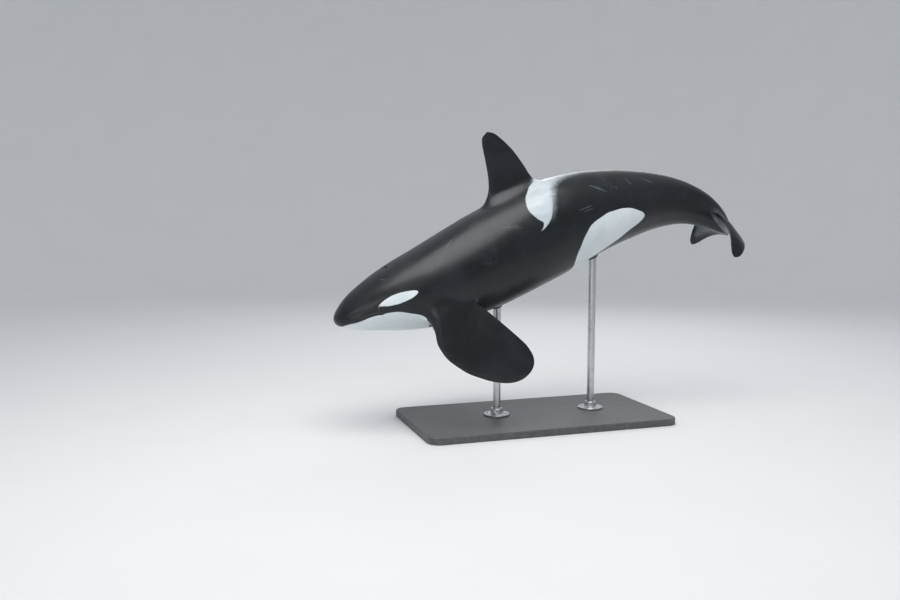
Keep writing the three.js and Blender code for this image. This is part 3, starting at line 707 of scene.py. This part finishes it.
def rounded(loop, steps=5):
    """a closed smooth curve through a loop of points"""
    p = np.asarray(loop, float)
    a, b, c, d = np.roll(p, 1, 0), p, np.roll(p, -1, 0), np.roll(p, -2, 0)
    t = (np.arange(steps) / steps)[None, :, None]
    a, b, c, d = (x[:, None] for x in (a, b, c, d))
    return (0.5 * (2 * b + (c - a) * t + (2 * a - 5 * b + 4 * c - d) * t**2 + (3 * b - a - 3 * c + d) * t**3)).reshape(-1, 2)


def inside_by(loop, x, y):
    """metres inside (positive) or outside (negative) of a closed loop"""
    best, winding = np.full(len(x), 1e9), np.zeros(len(x))
    for (x0, y0), (x1, y1) in zip(loop, np.roll(loop, -1, 0)):
        dx, dy = x1 - x0, y1 - y0
        t = np.clip(((x - x0) * dx + (y - y0) * dy) / (dx * dx + dy * dy + 1e-12), 0, 1)
        best = np.minimum(best, np.hypot(x - x0 - t * dx, y - y0 - t * dy))
        cross = dx * (y - y0) - (x - x0) * dy
        winding += np.where((y0 <= y) & (y1 > y) & (cross > 0), 1, 0) - np.where((y0 > y) & (y1 <= y) & (cross < 0), 1, 0)
    return np.where(winding != 0, best, -best)


# markings, as loops of (along, round the body), both in shares of the length
WHITE_BELOW = [  # from the belly's middle line: chin up to the mouth line, throat, narrow breast band, flank lobe, middle lobe
    (0.0035, -0.01), (0.0045, 0.0035), (0.0072, 0.0075), (0.016, 0.0327), (0.0272, 0.0463), (0.0372, 0.0575), (0.0479, 0.0672), (0.0579, 0.0744),
    (0.0678, 0.0801), (0.081, 0.0852), (0.0872, 0.0895), (0.1035, 0.0974), (0.1147, 0.0996), (0.1272, 0.0990), (0.1422, 0.0975),
    (0.1553, 0.0936), (0.1670, 0.0860), (0.1715, 0.0770), (0.1705, 0.0629), (0.1690, 0.045), (0.1750, 0.031), (0.20, 0.026),
    (0.24, 0.025), (0.30, 0.027), (0.37, 0.028), (0.44, 0.028), (0.485, 0.030), (0.505, 0.036), (0.5139, 0.0476), (0.5227, 0.0857), (0.5383, 0.1085),
    (0.552, 0.1223), (0.5689, 0.133), (0.5958, 0.1369), (0.6239, 0.1352), (0.6514, 0.1279), (0.6757, 0.1179), (0.6976, 0.1042),
    (0.7151, 0.0886), (0.7205, 0.0780), (0.7082, 0.0694), (0.6832, 0.0635), (0.6539, 0.0545), (0.6208, 0.047), (0.5927, 0.0400),
    (0.572, 0.0350), (0.5640, 0.0312), (0.575, 0.0285), (0.60, 0.0275), (0.64, 0.0265), (0.675, 0.0235), (0.697, 0.0150), (0.705, 0.0), (0.70, -0.01)]
EYE_PATCH = [  # from the back's middle line
    (0.0762, 0.0790), (0.0860, 0.0850), (0.096, 0.0930), (0.1078, 0.0995), (0.1185, 0.1040), (0.1303, 0.1074), (0.1416, 0.1092), (0.1522, 0.1094),
    (0.1588, 0.1083), (0.1608, 0.1052), (0.1547, 0.0995), (0.1378, 0.0915), (0.1166, 0.0828), (0.1003, 0.0788), (0.0866, 0.0770)]
SADDLE = [  # from the back's middle line, with the hooked lower end
    (0.590, -0.012), (0.500, -0.012), (0.4958, 0.0066), (0.4752, 0.0287), (0.4596, 0.0493), (0.4521, 0.0664), (0.4521, 0.0828), (0.4590, 0.1005), (0.4660, 0.1100),
    (0.4650, 0.1165), (0.4600, 0.1225), (0.4528, 0.1266), (0.4610, 0.1256), (0.4702, 0.1217), (0.4790, 0.1170), (0.4870, 0.1100), (0.4950, 0.0985),
    (0.5035, 0.0840), (0.5115, 0.0670), (0.5196, 0.0510), (0.5300, 0.0370), (0.5433, 0.0260), (0.5650, 0.0190), (0.5900, 0.0130)]

s, left, up = body_coordinates(v)
for _ in range(4):  # the points of the snout, without the lips' push
    snout = s < 0.07
    s[snout], left[snout], up[snout] = body_coordinates(v[snout] - lip_push(np.clip(s[snout], 0, 1), up[snout]))
from_back, from_belly = unrolled(s, left, up)
metres = lambda loop: rounded(loop) * LENGTH
x, yb, ya = s * LENGTH, from_belly * LENGTH, from_back * LENGTH
white = np.maximum(inside_by(metres(WHITE_BELOW), x, yb), inside_by(metres(EYE_PATCH), x, ya))
saddle = inside_by(metres(SADDLE), x, ya)

# places on the blades, from the nearest point of each blade before they were joined
kind = np.zeros(len(v))  # 0 body, 1 fin, 2 flipper, 3 fluke
blade_k, blade_u, blade_top = np.zeros(len(v)), np.full(len(v), 0.5), np.ones(len(v))
tree = KDTree(len(fin_v))
for i, p in enumerate(fin_v):
    tree.insert(p, i)
tree.balance()
SIDES = {"fin": 48, "flipper_l": 52, "flipper_r": 52, "fluke_l": 48, "fluke_r": 48}
table = []
for name, (bv, bf) in blades.items():
    n = SIDES[name]
    rows = (len(bv) - 2) // n
    lead = {"fin": 3, "flipper_l": 4, "flipper_r": 4, "fluke_l": 2, "fluke_r": 2}[name]
    rest = rows - lead
    kk = np.concatenate([np.zeros(lead), heights(rest, {"fin": 1.7, "flipper_l": 1.7, "flipper_r": 1.7}.get(name, 1.6))])
    t = np.arange(n) / n * 2 * math.pi
    K, U, T = np.repeat(kk, n), np.tile((1 - np.cos(t)) / 2, rows), np.tile(np.sign(np.round(np.sin(t), 9)), rows)
    number = {"fin": 1, "flipper_l": 2, "flipper_r": 2}.get(name, 3)
    block = np.stack([np.append(K, [0, 1]), np.append(U, [0.5, 0.5]), np.append(T, [0, 0]), np.full(len(bv), number)], -1)
    table.append(block)
table = np.concatenate(table)
to_body = distance_to(v, body_tree, 0.3)
for i, p in enumerate(v):
    if to_body[i] > 0.004:
        _, j, d = tree.find(Vector(p))
        if d < 0.06:
            blade_k[i], blade_u[i], blade_top[i], kind[i] = table[j]
off_body = ease(to_body / 0.05) * (kind > 0)
# body markings don't run out along the fins: the white stays off the flippers, and the saddle only touches the fin's foot
white = np.where(s < 0.3, np.minimum(white, 0.055 - 1.3 * to_body), white)
white = np.where(s < 0.02, np.minimum(white, np.minimum(-0.003 - mouth_gap(s, up)[0], (s - 0.006) * LENGTH)), white)
white = np.where(s > 0.85, -0.2, np.where((kind == 1) & (to_body > 0.02), -0.2, white))
saddle = np.where(s < 0.8, saddle - 1.2 * np.maximum(to_body - 0.01, 0), -0.3)
# paler fluke undersides with a dark margin all round; below, their pale is darkened as painted shade
chord = (pairs(FLUKE_REAR, blade_k) - pairs(FLUKE_FRONT, blade_k)) * LENGTH
inner = np.minimum(np.minimum(blade_u * chord - 0.05, (1 - blade_u) * chord - 0.085), (1 - blade_k) * FLUKE["half"] * LENGTH - 0.10)
inner = np.minimum(inner, blade_k * FLUKE["half"] * LENGTH - 0.04)
pale_under_painted_shade = np.where((kind == 3) & (blade_top < 0), inner, -0.2)
over, past = mouth_gap(s, up)
lips = np.where((s < 0.2) & (kind == 0), np.where(past < 0, over, np.hypot(over, past)) * (1 + 1.4 * ease((past + 0.07) / 0.07)), 1.0)
nearest_eye = np.min([np.linalg.norm(v - e[0], axis=1) for e in EYES.values()], 0)

skin = new_object("orca_skin", v, f)
for name, values in {"white": white, "saddle": saddle, "pale_under_painted_shade": pale_under_painted_shade, "lips": lips, "eye_near": nearest_eye,
                     "blade": off_body, "blade_u": blade_u, "from_belly": yb}.items():
    skin.data.attributes.new(name, "FLOAT", "POINT").data.foreach_set("value", np.asarray(values, np.float32))
side_of = np.sign(left) + (left == 0)
skin.data.attributes.new("flat", "FLOAT_VECTOR", "POINT").data.foreach_set(
    "vector", np.stack([x, ya * side_of, 0 * x], -1).astype(np.float32).ravel())
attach(skin, "root")
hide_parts("head", "lower_jaw", "trunk", "tail_stock", "dorsal_fin", "flipper_left", "flipper_right", "fluke_left", "fluke_right")


# ---------- material helpers ----------
class Nodes:
    def __init__(self, name):
        self.material = bpy.data.materials.new(name)
        self.material.use_nodes = True
        self.tree = self.material.node_tree
        self.tree.nodes.clear()
        self.out = self.tree.nodes.new("ShaderNodeOutputMaterial")
        self.shader = self.tree.nodes.new("ShaderNodeBsdfPrincipled")
        self.tree.links.new(self.shader.outputs[0], self.out.inputs[0])

    def set(self, socket, value):
        if isinstance(value, bpy.types.NodeSocket):
            self.tree.links.new(value, socket)
        elif value is not None:
            socket.default_value = value

    def principled(self, **values):
        for key, value in values.items():
            self.set(self.shader.inputs[key.replace("_", " ")], value)

    def add(self, kind, *inputs, out=0, **settings):
        node = self.tree.nodes.new(kind)
        for key, value in settings.items():
            setattr(node, key, value)
        for i, value in enumerate(inputs):
            if value is not None:
                self.set(node.inputs[i], value)
        return node.outputs[out]

    def math(self, op, a, b=None, c=None, clamp=False):
        return self.add("ShaderNodeMath", a, b, c, operation=op, use_clamp=clamp)

    def attribute(self, name, out=2):
        return self.add("ShaderNodeAttribute", attribute_name=name, out=out)

    def noise(self, vector, scale, detail=3.0, rough=0.5, out=0):
        node = self.tree.nodes.new("ShaderNodeTexNoise")
        self.set(node.inputs["Vector"], vector)
        node.inputs["Scale"].default_value, node.inputs["Detail"].default_value, node.inputs["Roughness"].default_value = scale, detail, rough
        return node.outputs[out]

    def step(self, value, low, high):
        node = self.tree.nodes.new("ShaderNodeMapRange")
        node.interpolation_type = "SMOOTHSTEP"
        self.set(node.inputs[0], value)
        node.inputs[1].default_value, node.inputs[2].default_value = low, high
        return node.outputs[0]

    def span(self, value, low, high, to_low, to_high):
        node = self.tree.nodes.new("ShaderNodeMapRange")
        self.set(node.inputs[0], value)
        for i, n in enumerate((low, high, to_low, to_high)):
            node.inputs[i + 1].default_value = n
        return node.outputs[0]

    def mix(self, share, a, b):
        node = self.tree.nodes.new("ShaderNodeMix")
        node.data_type = "RGBA"
        self.set(node.inputs[0], share)
        self.set(node.inputs[6], a if isinstance(a, bpy.types.NodeSocket) else (*a, 1))
        self.set(node.inputs[7], b if isinstance(b, bpy.types.NodeSocket) else (*b, 1))
        return node.outputs[2]

    def scale(self, vector, x, y, z):
        return self.add("ShaderNodeVectorMath", vector, (x, y, z), operation="MULTIPLY")

    def bump(self, height, strength, distance, normal=None):
        node = self.tree.nodes.new("ShaderNodeBump")
        node.inputs["Strength"].default_value, node.inputs["Distance"].default_value = strength, distance
        self.set(node.inputs["Height"], height)
        if normal is not None:
            self.set(node.inputs["Normal"], normal)
        return node.outputs[0]


def scar(n, flat_x, flat_y, x0, y0, degrees, length, width, bend=0.0):
    """share of a thin curved line through (x0, y0) on the unrolled skin, in metres"""
    c, s_ = math.cos(math.radians(degrees)), math.sin(math.radians(degrees))
    dx, dy = n.math("SUBTRACT", flat_x, x0), n.math("SUBTRACT", flat_y, y0)
    a = n.math("ADD", n.math("MULTIPLY", dx, c), n.math("MULTIPLY", dy, s_))
    b = n.math("SUBTRACT", n.math("MULTIPLY", dy, c), n.math("MULTIPLY", dx, s_))
    b = n.math("ABSOLUTE", n.math("SUBTRACT", b, n.math("MULTIPLY", n.math("MULTIPLY", a, a), bend)))
    across_ = n.step(b, width, width * 0.25)
    ends = n.step(n.math("ABSOLUTE", a), length / 2, length / 2 * 0.55)
    return n.math("MULTIPLY", across_, ends)


# ---------- skin ----------
def skin_material():
    n = Nodes("skin")
    where = n.add("ShaderNodeTexCoord", out=3)
    flat = n.attribute("flat", 1)
    sep = n.tree.nodes.new("ShaderNodeSeparateXYZ")
    n.set(sep.inputs[0], flat)
    fx, fy = sep.outputs[0], sep.outputs[1]
    fine, coarse, grain = n.noise(where, 42, 5, 0.6), n.noise(where, 2.3, 4, 0.55), n.noise(where, 240, 3, 0.6)
    edge = n.math("ADD", n.span(n.noise(where, 6.5, 3, 0.5), 0.3, 0.7, -0.0040, 0.0040), n.span(n.noise(where, 120, 3, 0.6), 0.3, 0.7, -0.0009, 0.0009))
    white_ = n.step(n.math("ADD", n.attribute("white"), edge), -0.0032, 0.0032)
    # black: near-black with a cool cast, slightly paler and mottled in wide soft patches
    mottle = n.noise(where, 9, 6, 0.62)
    black = n.mix(n.step(coarse, 0.35, 0.7), (0.0042, 0.0056, 0.0076), (0.0078, 0.0104, 0.0136))
    black = n.mix(n.math("MULTIPLY", n.step(mottle, 0.5, 0.72), 0.45), black, (0.0125, 0.0165, 0.0205))
    # rake marks: thin, nearly parallel pale lines, drawn out along the body, only in some places
    streak = n.noise(n.scale(flat, 1.6, 34, 1), 2.2, 3, 0.55)
    lines = n.step(n.math("ABSOLUTE", n.math("SUBTRACT", streak, 0.5)), 0.012, 0.002)
    some = n.step(n.noise(where, 1.7, 2, 0.5), 0.54, 0.66)
    rakes = n.math("MULTIPLY", n.math("MULTIPLY", lines, some), 0.35)
    tilted = n.add("ShaderNodeVectorRotate", flat, (0, 0, 0), (0, 0, 1), math.radians(38))
    lines = n.step(n.math("ABSOLUTE", n.math("SUBTRACT", n.noise(n.scale(tilted, 1.3, 40, 1), 1.9, 2, 0.5), 0.5)), 0.009, 0.0015)
    some = n.step(n.noise(where, 1.1, 2, 0.5), 0.60, 0.70)
    rakes = n.math("MAXIMUM", rakes, n.math("MULTIPLY", n.math("MULTIPLY", lines, some), 0.4))
    on_body = n.math("SUBTRACT", 1.0, n.attribute("blade"))
    rakes = n.math("MULTIPLY", rakes, on_body)
    marks = None
    for args in SCARS:
        m = scar(n, fx, fy, *args)
        marks = m if marks is None else n.math("MAXIMUM", marks, m)
    marks = n.math("MAXIMUM", rakes, n.math("MULTIPLY", marks, n.span(fine, 0.3, 0.7, 0.35, 0.8)))
    # pale speckles on the flank behind the saddle
    cells = n.tree.nodes.new("ShaderNodeTexVoronoi")
    n.set(cells.inputs["Vector"], where)
    cells.inputs["Scale"].default_value = 26
    dots = n.step(n.math("ADD", cells.outputs["Distance"], n.span(fine, 0, 1, -0.08, 0.08)), 0.20, 0.11)
    wide = n.math("ADD", n.math("POWER", n.math("DIVIDE", n.math("SUBTRACT", fx, 3.72), 0.26), 2), n.math("POWER", n.math("DIVIDE", n.math("SUBTRACT", fy, 0.30), 0.17), 2))
    dots = n.math("MULTIPLY", dots, n.math("MULTIPLY", n.step(wide, 1.0, 0.25), n.step(coarse, 0.42, 0.55)))
    marks = n.math("MAXIMUM", marks, n.math("MULTIPLY", dots, 0.55))
    color = n.mix(marks, black, (0.13, 0.155, 0.175))
    # saddle: grey-white, crisp in front, softer behind, streaked with the black below
    soft = n.span(n.noise(where, 14, 5, 0.6), 0.3, 0.7, -0.014, 0.014)
    behind = n.step(fx, 2.78, 3.02)
    sad = n.attribute("saddle")
    crisp = n.step(n.math("ADD", sad, edge), -0.006, 0.008)
    loose = n.step(n.math("ADD", sad, soft), -0.075, 0.055)
    share = n.math("ADD", n.math("MULTIPLY", crisp, n.math("SUBTRACT", 1.0, behind)), n.math("MULTIPLY", loose, behind))
    grey = n.mix(n.step(n.noise(n.scale(flat, 5, 15, 1), 1.1, 5, 0.55), 0.35, 0.72), (0.52, 0.575, 0.605), (0.43, 0.485, 0.515))
    grey = n.mix(n.step(fx, 2.95, 3.40), grey, (0.085, 0.108, 0.122))
    color = n.mix(n.math("MULTIPLY", share, 0.96), color, grey)
    # fluke undersides: pale with a dark margin and streaks, darkened to slate grey as painted shade under the flukes
    under = n.step(n.math("ADD", n.attribute("pale_under_painted_shade"), n.span(mottle, 0.3, 0.7, -0.03, 0.03)), -0.035, 0.05)
    color = n.mix(n.math("MULTIPLY", under, 0.85), color, n.mix(n.step(mottle, 0.4, 0.66), (0.135, 0.155, 0.17), (0.07, 0.085, 0.097)))
    # white: cool, faintly dirtied in soft clouds, with a few grey scratches
    pale = n.mix(n.step(coarse, 0.35, 0.75), (0.71, 0.765, 0.785), (0.60, 0.665, 0.69))
    pale = n.mix(n.math("MULTIPLY", n.step(mottle, 0.52, 0.75), 0.35), pale, (0.52, 0.565, 0.575))
    pale = n.mix(n.math("MULTIPLY", rakes, 0.9), pale, (0.38, 0.40, 0.40))
    color = n.mix(white_, color, pale)
    # mouth line and the rims of the eyes are dark whatever they cross
    lip = n.math("ABSOLUTE", n.attribute("lips"))
    color = n.mix(n.math("MULTIPLY", n.step(lip, 0.0085, 0.003), 0.9), color, (0.010, 0.010, 0.011))
    rim = n.step(n.attribute("eye_near"), 0.055, 0.038)
    color = n.mix(n.math("MULTIPLY", rim, 0.85), color, (0.012, 0.012, 0.013))
    rough = n.math("ADD", n.span(coarse, 0.3, 0.7, 0.30, 0.40), n.span(mottle, 0.3, 0.7, -0.04, 0.05))
    rough = n.math("ADD", rough, n.math("MULTIPLY", marks, 0.15))
    normal = n.bump(grain, 0.10, 0.0012)
    normal = n.bump(mottle, 0.12, 0.004, normal)
    normal = n.bump(n.math("SUBTRACT", 1.0, marks), 0.25, 0.0012, normal)
    n.principled(Base_Color=color, Roughness=rough, Normal=normal, IOR=1.38, Coat_Weight=0.15, Coat_Roughness=0.22)
    return n.material


SCARS = [  # unrolled place, direction, length, width and bend
    (3.52, 0.36, 35, 0.16, 0.007, 0.6), (3.56, 0.38, 35, 0.14, 0.006, 0.6), (3.60, 0.395, 36, 0.15, 0.006, 0.7),
    (3.30, 0.62, -12, 0.22, 0.007, 0.3), (3.33, 0.65, -12, 0.16, 0.005, 0.3),
    (4.02, 0.26, 62, 0.12, 0.008, 0.0), (4.30, 0.20, 15, 0.18, 0.007, 0.9), (2.30, 0.52, 20, 0.26, 0.006, 0.25), (2.34, 0.56, 20, 0.22, 0.005, 0.25),
    (1.55, 0.30, -28, 0.18, 0.006, 0.5), (3.75, -0.34, 40, 0.22, 0.007, 0.4), (3.80, -0.37, 40, 0.20, 0.006, 0.4), (2.10, -0.50, 10, 0.30, 0.006, 0.2),
    (0.62, 0.22, 50, 0.09, 0.005, 0.0), (4.62, -0.22, 20, 0.15, 0.006, 0.5)]
skin.data.materials.append(skin_material())


# ---------- eyes ----------
def eye_material():
    n = Nodes("eye")
    polar, turn = n.attribute("polar"), n.attribute("turn")
    where = n.add("ShaderNodeTexCoord", out=3)
    fibre = n.noise(n.add("ShaderNodeCombineXYZ", n.math("MULTIPLY", turn, 9.0), n.math("MULTIPLY", polar, 1.5), 0.0), 2.0, 3, 0.6)
    iris = n.mix(n.step(fibre, 0.35, 0.65), (0.012, 0.0075, 0.005), (0.034, 0.021, 0.013))
    color = n.mix(n.step(polar, 0.44, 0.50), iris, n.mix(n.step(n.noise(where, 180, 3), 0.4, 0.6), (0.010, 0.008, 0.008), (0.026, 0.019, 0.018)))
    color = n.mix(n.step(n.math("ABSOLUTE", n.math("SUBTRACT", polar, 0.47)), 0.05, 0.015), color, (0.006, 0.005, 0.005))
    color = n.mix(n.step(polar, 0.20, 0.17), color, (0.003, 0.003, 0.004))
    n.principled(Base_Color=color, Roughness=n.span(fibre, 0.2, 0.8, 0.05, 0.10), IOR=1.38, Coat_Weight=1.0, Coat_Roughness=0.02)
    return n.material


eye_look = eye_material()
for side, (ball, out, rear, top) in EYES.items():
    polar = np.concatenate([np.linspace(0.035, 0.62, 22), np.linspace(0.68, math.pi - 0.07, 24)])
    turn = np.arange(48) / 48 * 2 * math.pi
    P, T = np.meshgrid(polar, turn, indexing="ij")
    radius = EYE_RADIUS - 0.0006 + 0.0011 * np.exp(-((P / 0.42) ** 2))
    rows = ball + radius[..., None] * (np.cos(P)[..., None] * out + np.sin(P)[..., None] * (np.cos(T)[..., None] * rear + np.sin(T)[..., None] * top))
    ev, ef = loft(rows, ball + out * (EYE_RADIUS + 0.0005), ball - out * (EYE_RADIUS - 0.0006))
    name = "eyeball_left" if side > 0 else "eyeball_right"
    eye = new_object(name, ev, ef)
    eye.data.attributes.new("polar", "FLOAT", "POINT").data.foreach_set("value", np.append(P.ravel() * np.hypot(np.cos(T.ravel()) * 0.85, np.sin(T.ravel()) * 1.1), [0, math.pi]).astype(np.float32))
    eye.data.attributes.new("turn", "FLOAT", "POINT").data.foreach_set("value", np.append(np.abs(T.ravel() - math.pi), [0, 0]).astype(np.float32))
    eye.data.materials.append(eye_look)
    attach(eye, "root")
    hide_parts("eye_left" if side > 0 else "eye_right")


# ---------- stand ----------
FLANGE_THICK, BOLT_CIRCLE = 0.026, 0.122


def ring_of(rows, name, material, node=None):
    """a closed tube from rows of loops: the last row joins the first"""
    rows = np.asarray(rows)
    r, n, _ = rows.shape
    i, j = np.meshgrid(np.arange(r), np.arange(n), indexing="ij")
    p, q = i * n + j, i * n + (j + 1) % n
    u, w = ((i + 1) % r) * n + j, ((i + 1) % r) * n + (j + 1) % n
    f = np.stack([p, q, w, u], -1).reshape(-1, 4)
    flat_v = rows.reshape(-1, 3)
    a, b, c = flat_v[f[:, 0]], flat_v[f[:, 1]], flat_v[f[:, 2]]
    if (a * np.cross(b - a, c - a)).sum() < 0:
        f = f[:, ::-1]
    obj = new_object(name, flat_v, f)
    obj.data.materials.append(material)
    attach(obj, "root")
    return obj


def painted_metal():
    n = Nodes("powder_coat")
    where = n.add("ShaderNodeTexCoord", out=3)
    cloud, peel, speck = n.noise(where, 1.9, 5, 0.6), n.noise(where, 310, 3, 0.55), n.noise(where, 90, 2, 0.5)
    color = n.mix(n.step(cloud, 0.3, 0.72), (0.060, 0.063, 0.068), (0.078, 0.081, 0.086))
    color = n.mix(n.math("MULTIPLY", n.step(speck, 0.62, 0.70), 0.35), color, (0.12, 0.122, 0.127))
    scuffs = n.step(n.math("ABSOLUTE", n.math("SUBTRACT", n.noise(n.scale(where, 1.2, 9, 1), 1.5, 5, 0.65), 0.5)), 0.010, 0.002)
    scuffs = n.math("MULTIPLY", scuffs, n.step(n.noise(where, 1.3, 2), 0.55, 0.66))
    color = n.mix(n.math("MULTIPLY", scuffs, 0.30), color, (0.16, 0.162, 0.166))
    # edges are rubbed a little brighter
    geo = n.tree.nodes.new("ShaderNodeNewGeometry")
    rubbed = n.math("MULTIPLY", n.step(geo.outputs["Pointiness"], 0.53, 0.60), n.step(n.noise(where, 22, 3), 0.42, 0.60))
    color = n.mix(n.math("MULTIPLY", rubbed, 0.5), color, (0.20, 0.20, 0.205))
    rough = n.math("ADD", n.span(cloud, 0.3, 0.7, 0.46, 0.56), n.math("MULTIPLY", scuffs, -0.08))
    normal = n.bump(peel, 0.22, 0.0006)
    n.principled(Base_Color=color, Roughness=rough, Normal=normal)
    return n.material


def brushed_steel(name, upright_brushing):
    n = Nodes(name)
    where = n.add("ShaderNodeTexCoord", out=3)
    stretch = (90, 90, 3) if upright_brushing else (6, 6, 420)
    brush = n.noise(n.scale(where, *stretch), 1.0, 4, 0.6)
    cloud = n.noise(where, 6, 4, 0.6)
    color = n.mix(n.step(cloud, 0.35, 0.7), (0.60, 0.61, 0.62), (0.50, 0.51, 0.525))
    color = n.mix(n.math("MULTIPLY", n.step(brush, 0.45, 0.75), 0.30), color, (0.36, 0.37, 0.385))
    smudge = n.step(n.noise(where, 11, 5, 0.65), 0.56, 0.68)
    rough = n.math("ADD", n.span(brush, 0.3, 0.7, 0.22, 0.34), n.math("MULTIPLY", smudge, 0.10))
    n.principled(Base_Color=color, Roughness=rough, Metallic=1.0, Normal=n.bump(brush, 0.18, 0.0004))
    return n.material


def dark_rubber():
    n = Nodes("gasket_rubber")
    where = n.add("ShaderNodeTexCoord", out=3)
    cloud, grain = n.noise(where, 30, 4, 0.6), n.noise(where, 420, 2, 0.5)
    color = n.mix(n.step(cloud, 0.35, 0.7), (0.016, 0.016, 0.017), (0.032, 0.032, 0.033))
    n.principled(Base_Color=color, Roughness=n.span(cloud, 0.3, 0.7, 0.55, 0.7), Normal=n.bump(grain, 0.25, 0.0006))
    return n.material


coat, rod_steel, flange_steel, rubber = painted_metal(), brushed_steel("brushed_steel_rod", False), brushed_steel("turned_steel_flange", False), dark_rubber()


def dress(node, material):
    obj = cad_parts[node]
    obj.data.materials.clear()
    obj.data.materials.append(material)


dress("stand_base", coat)
skin_tree = BVHTree.FromPolygons([tuple(p) for p in v], [tuple(int(i) for i in t) for t in f])
for end in ("front", "rear"):
    dress("stand_rod_" + end, rod_steel)
    dress("stand_flange_" + end, flange_steel)
    lo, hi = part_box("stand_rod_" + end)
    cx, cy, radius = (lo[0] + hi[0]) / 2, (lo[1] + hi[1]) / 2, (hi[0] - lo[0]) / 2
    flo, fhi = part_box("stand_flange_" + end)
    plate_top = flo[2] + FLANGE_THICK
    # button-head bolts with a hexagon socket, on washers
    for k in range(6):
        a = math.radians(60 * k + 30)
        bx, by = cx + BOLT_CIRCLE * math.cos(a), cy + BOLT_CIRCLE * math.sin(a)
        t = np.arange(36) / 36 * 2 * math.pi
        z = plate_top + 0.0004
        rows = []
        hexa = 0.0052 / np.maximum(np.cos((t + 0.3) % (math.pi / 3) - math.pi / 6), 0.1)
        for r, h in ((0.0152, 0), (0.0152, 0.0018), (0.0148, 0.0022), (0.0108, 0.0024), (0.0110, 0.0036), (0.0102, 0.0056), (0.0086, 0.0072), (0.0066, 0.0080)):
            rows.append(np.stack([bx + r * np.cos(t), by + r * np.sin(t), z + h + 0 * t], -1))
        for r, h in ((hexa, 0.0080), (hexa, 0.0042), (hexa * 0.1, 0.0040)):
            rows.append(np.stack([bx + r * np.cos(t), by + r * np.sin(t), z + h + 0 * t], -1))
        bv, bf = loft(rows[::-1], np.array([bx, by, z + 0.004]), np.array([bx, by, z]))
        bolt = new_object(f"flange_bolt_{end}_{k + 1}", bv, bf, smooth=False)
        bolt.data.materials.append(flange_steel)
        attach(bolt, "root")
    # rubber collar that follows the belly where the rod goes in
    t = np.arange(96) / 96 * 2 * math.pi
    def belly_z(r):
        out = np.empty(len(t))
        for i, a in enumerate(t):
            hit = skin_tree.ray_cast(Vector((cx + r * math.cos(a), cy + r * math.sin(a), 0.3)), Vector((0, 0, 1)))
            out[i] = hit[0][2] if hit[0] is not None else hi[2]
        return out
    inner, middle, outer = radius + 0.0006, radius + 0.020, radius + 0.038
    z_in, z_mid, z_out = belly_z(inner), belly_z(middle), belly_z(outer)
    at_ring = lambda r, z: np.stack([cx + r * np.cos(t), cy + r * np.sin(t), z], -1)
    low = np.minimum(z_in, z_out)
    rows = [at_ring(inner, z_in + 0.004), at_ring(inner, z_in - 0.030), at_ring(inner + 0.003, z_in - 0.0335), at_ring(inner + 0.009, z_in - 0.034),
            at_ring(inner + 0.013, z_in - 0.030), at_ring(inner + 0.015, z_in - 0.020), at_ring(middle, z_mid - 0.014), at_ring(outer - 0.008, belly_z(outer - 0.008) - 0.011),
            at_ring(outer - 0.002, belly_z(outer - 0.002) - 0.008), at_ring(outer, z_out - 0.004), at_ring(outer, z_out + 0.004)]
    ring_of(rows, "belly_collar_" + end, rubber)


# ---------- studio: a wide pale floor that rises into a far wall, soft light from above ----------
turn = np.arange(128) / 128 * 2 * math.pi
profile = [(0.0, 0.0), (4, 0.0), (9, 0.0), (14, 0.0), (18, 0.0)]
profile += [(18 + 12 * math.sin(a), 12 - 12 * math.cos(a)) for a in np.radians(np.arange(6, 91, 6))]
profile += [(30, 16.0), (30, 20.5)]
rows = [np.stack([max(r, 0.01) * np.cos(turn), max(r, 0.01) * np.sin(turn), z + 0 * turn], -1) for r, z in profile]
rows = np.asarray(rows)
i, j = np.meshgrid(np.arange(len(rows) - 1), np.arange(128), indexing="ij")
p_, q_ = i * 128 + j, i * 128 + (j + 1) % 128
floor = new_object("floor", np.concatenate([rows.reshape(-1, 3)]), np.concatenate([np.stack([p_, q_, q_ + 128, p_ + 128], -1).reshape(-1, 4)]))
fm = Nodes("floor")
where = fm.add("ShaderNodeTexCoord", out=3)
fm.principled(Base_Color=fm.mix(fm.noise(where, 0.8, 3), (0.72, 0.727, 0.735), (0.75, 0.757, 0.765)), Roughness=0.75)
floor.data.materials.append(fm.material)


def softbox(name, place_, aim, width, height, watts, color=(1, 1, 1)):
    light = bpy.data.lights.new(name, "AREA")
    light.shape, light.size, light.size_y, light.energy, light.color = "RECTANGLE", width, height, watts, color
    obj = bpy.data.objects.new(name, light)
    obj.location = place_
    obj.rotation_euler = (Vector(aim) - Vector(place_)).to_track_quat("-Z", "Y").to_euler()
    obj.visible_camera = False
    scene.collection.objects.link(obj)


softbox("key", (-2.5, -4.0, 10.5), (0, 0, 2), 8, 7, 850, (1.0, 0.995, 0.98))
softbox("fill", (-10, -11, 4.5), (0, 0, 2.2), 7, 5, 230, (0.97, 0.985, 1.0))
softbox("rim", (5, 9, 8.0), (0, 0, 2.5), 8, 5, 260, (0.98, 0.99, 1.0))
world = bpy.data.worlds.new("studio")
world.use_nodes = True
world.node_tree.nodes["Background"].inputs[0].default_value = (0.93, 0.96, 1.0, 1)
world.node_tree.nodes["Background"].inputs[1].default_value = 0.67
scene.world = world
scene.view_settings.view_transform = "Standard"
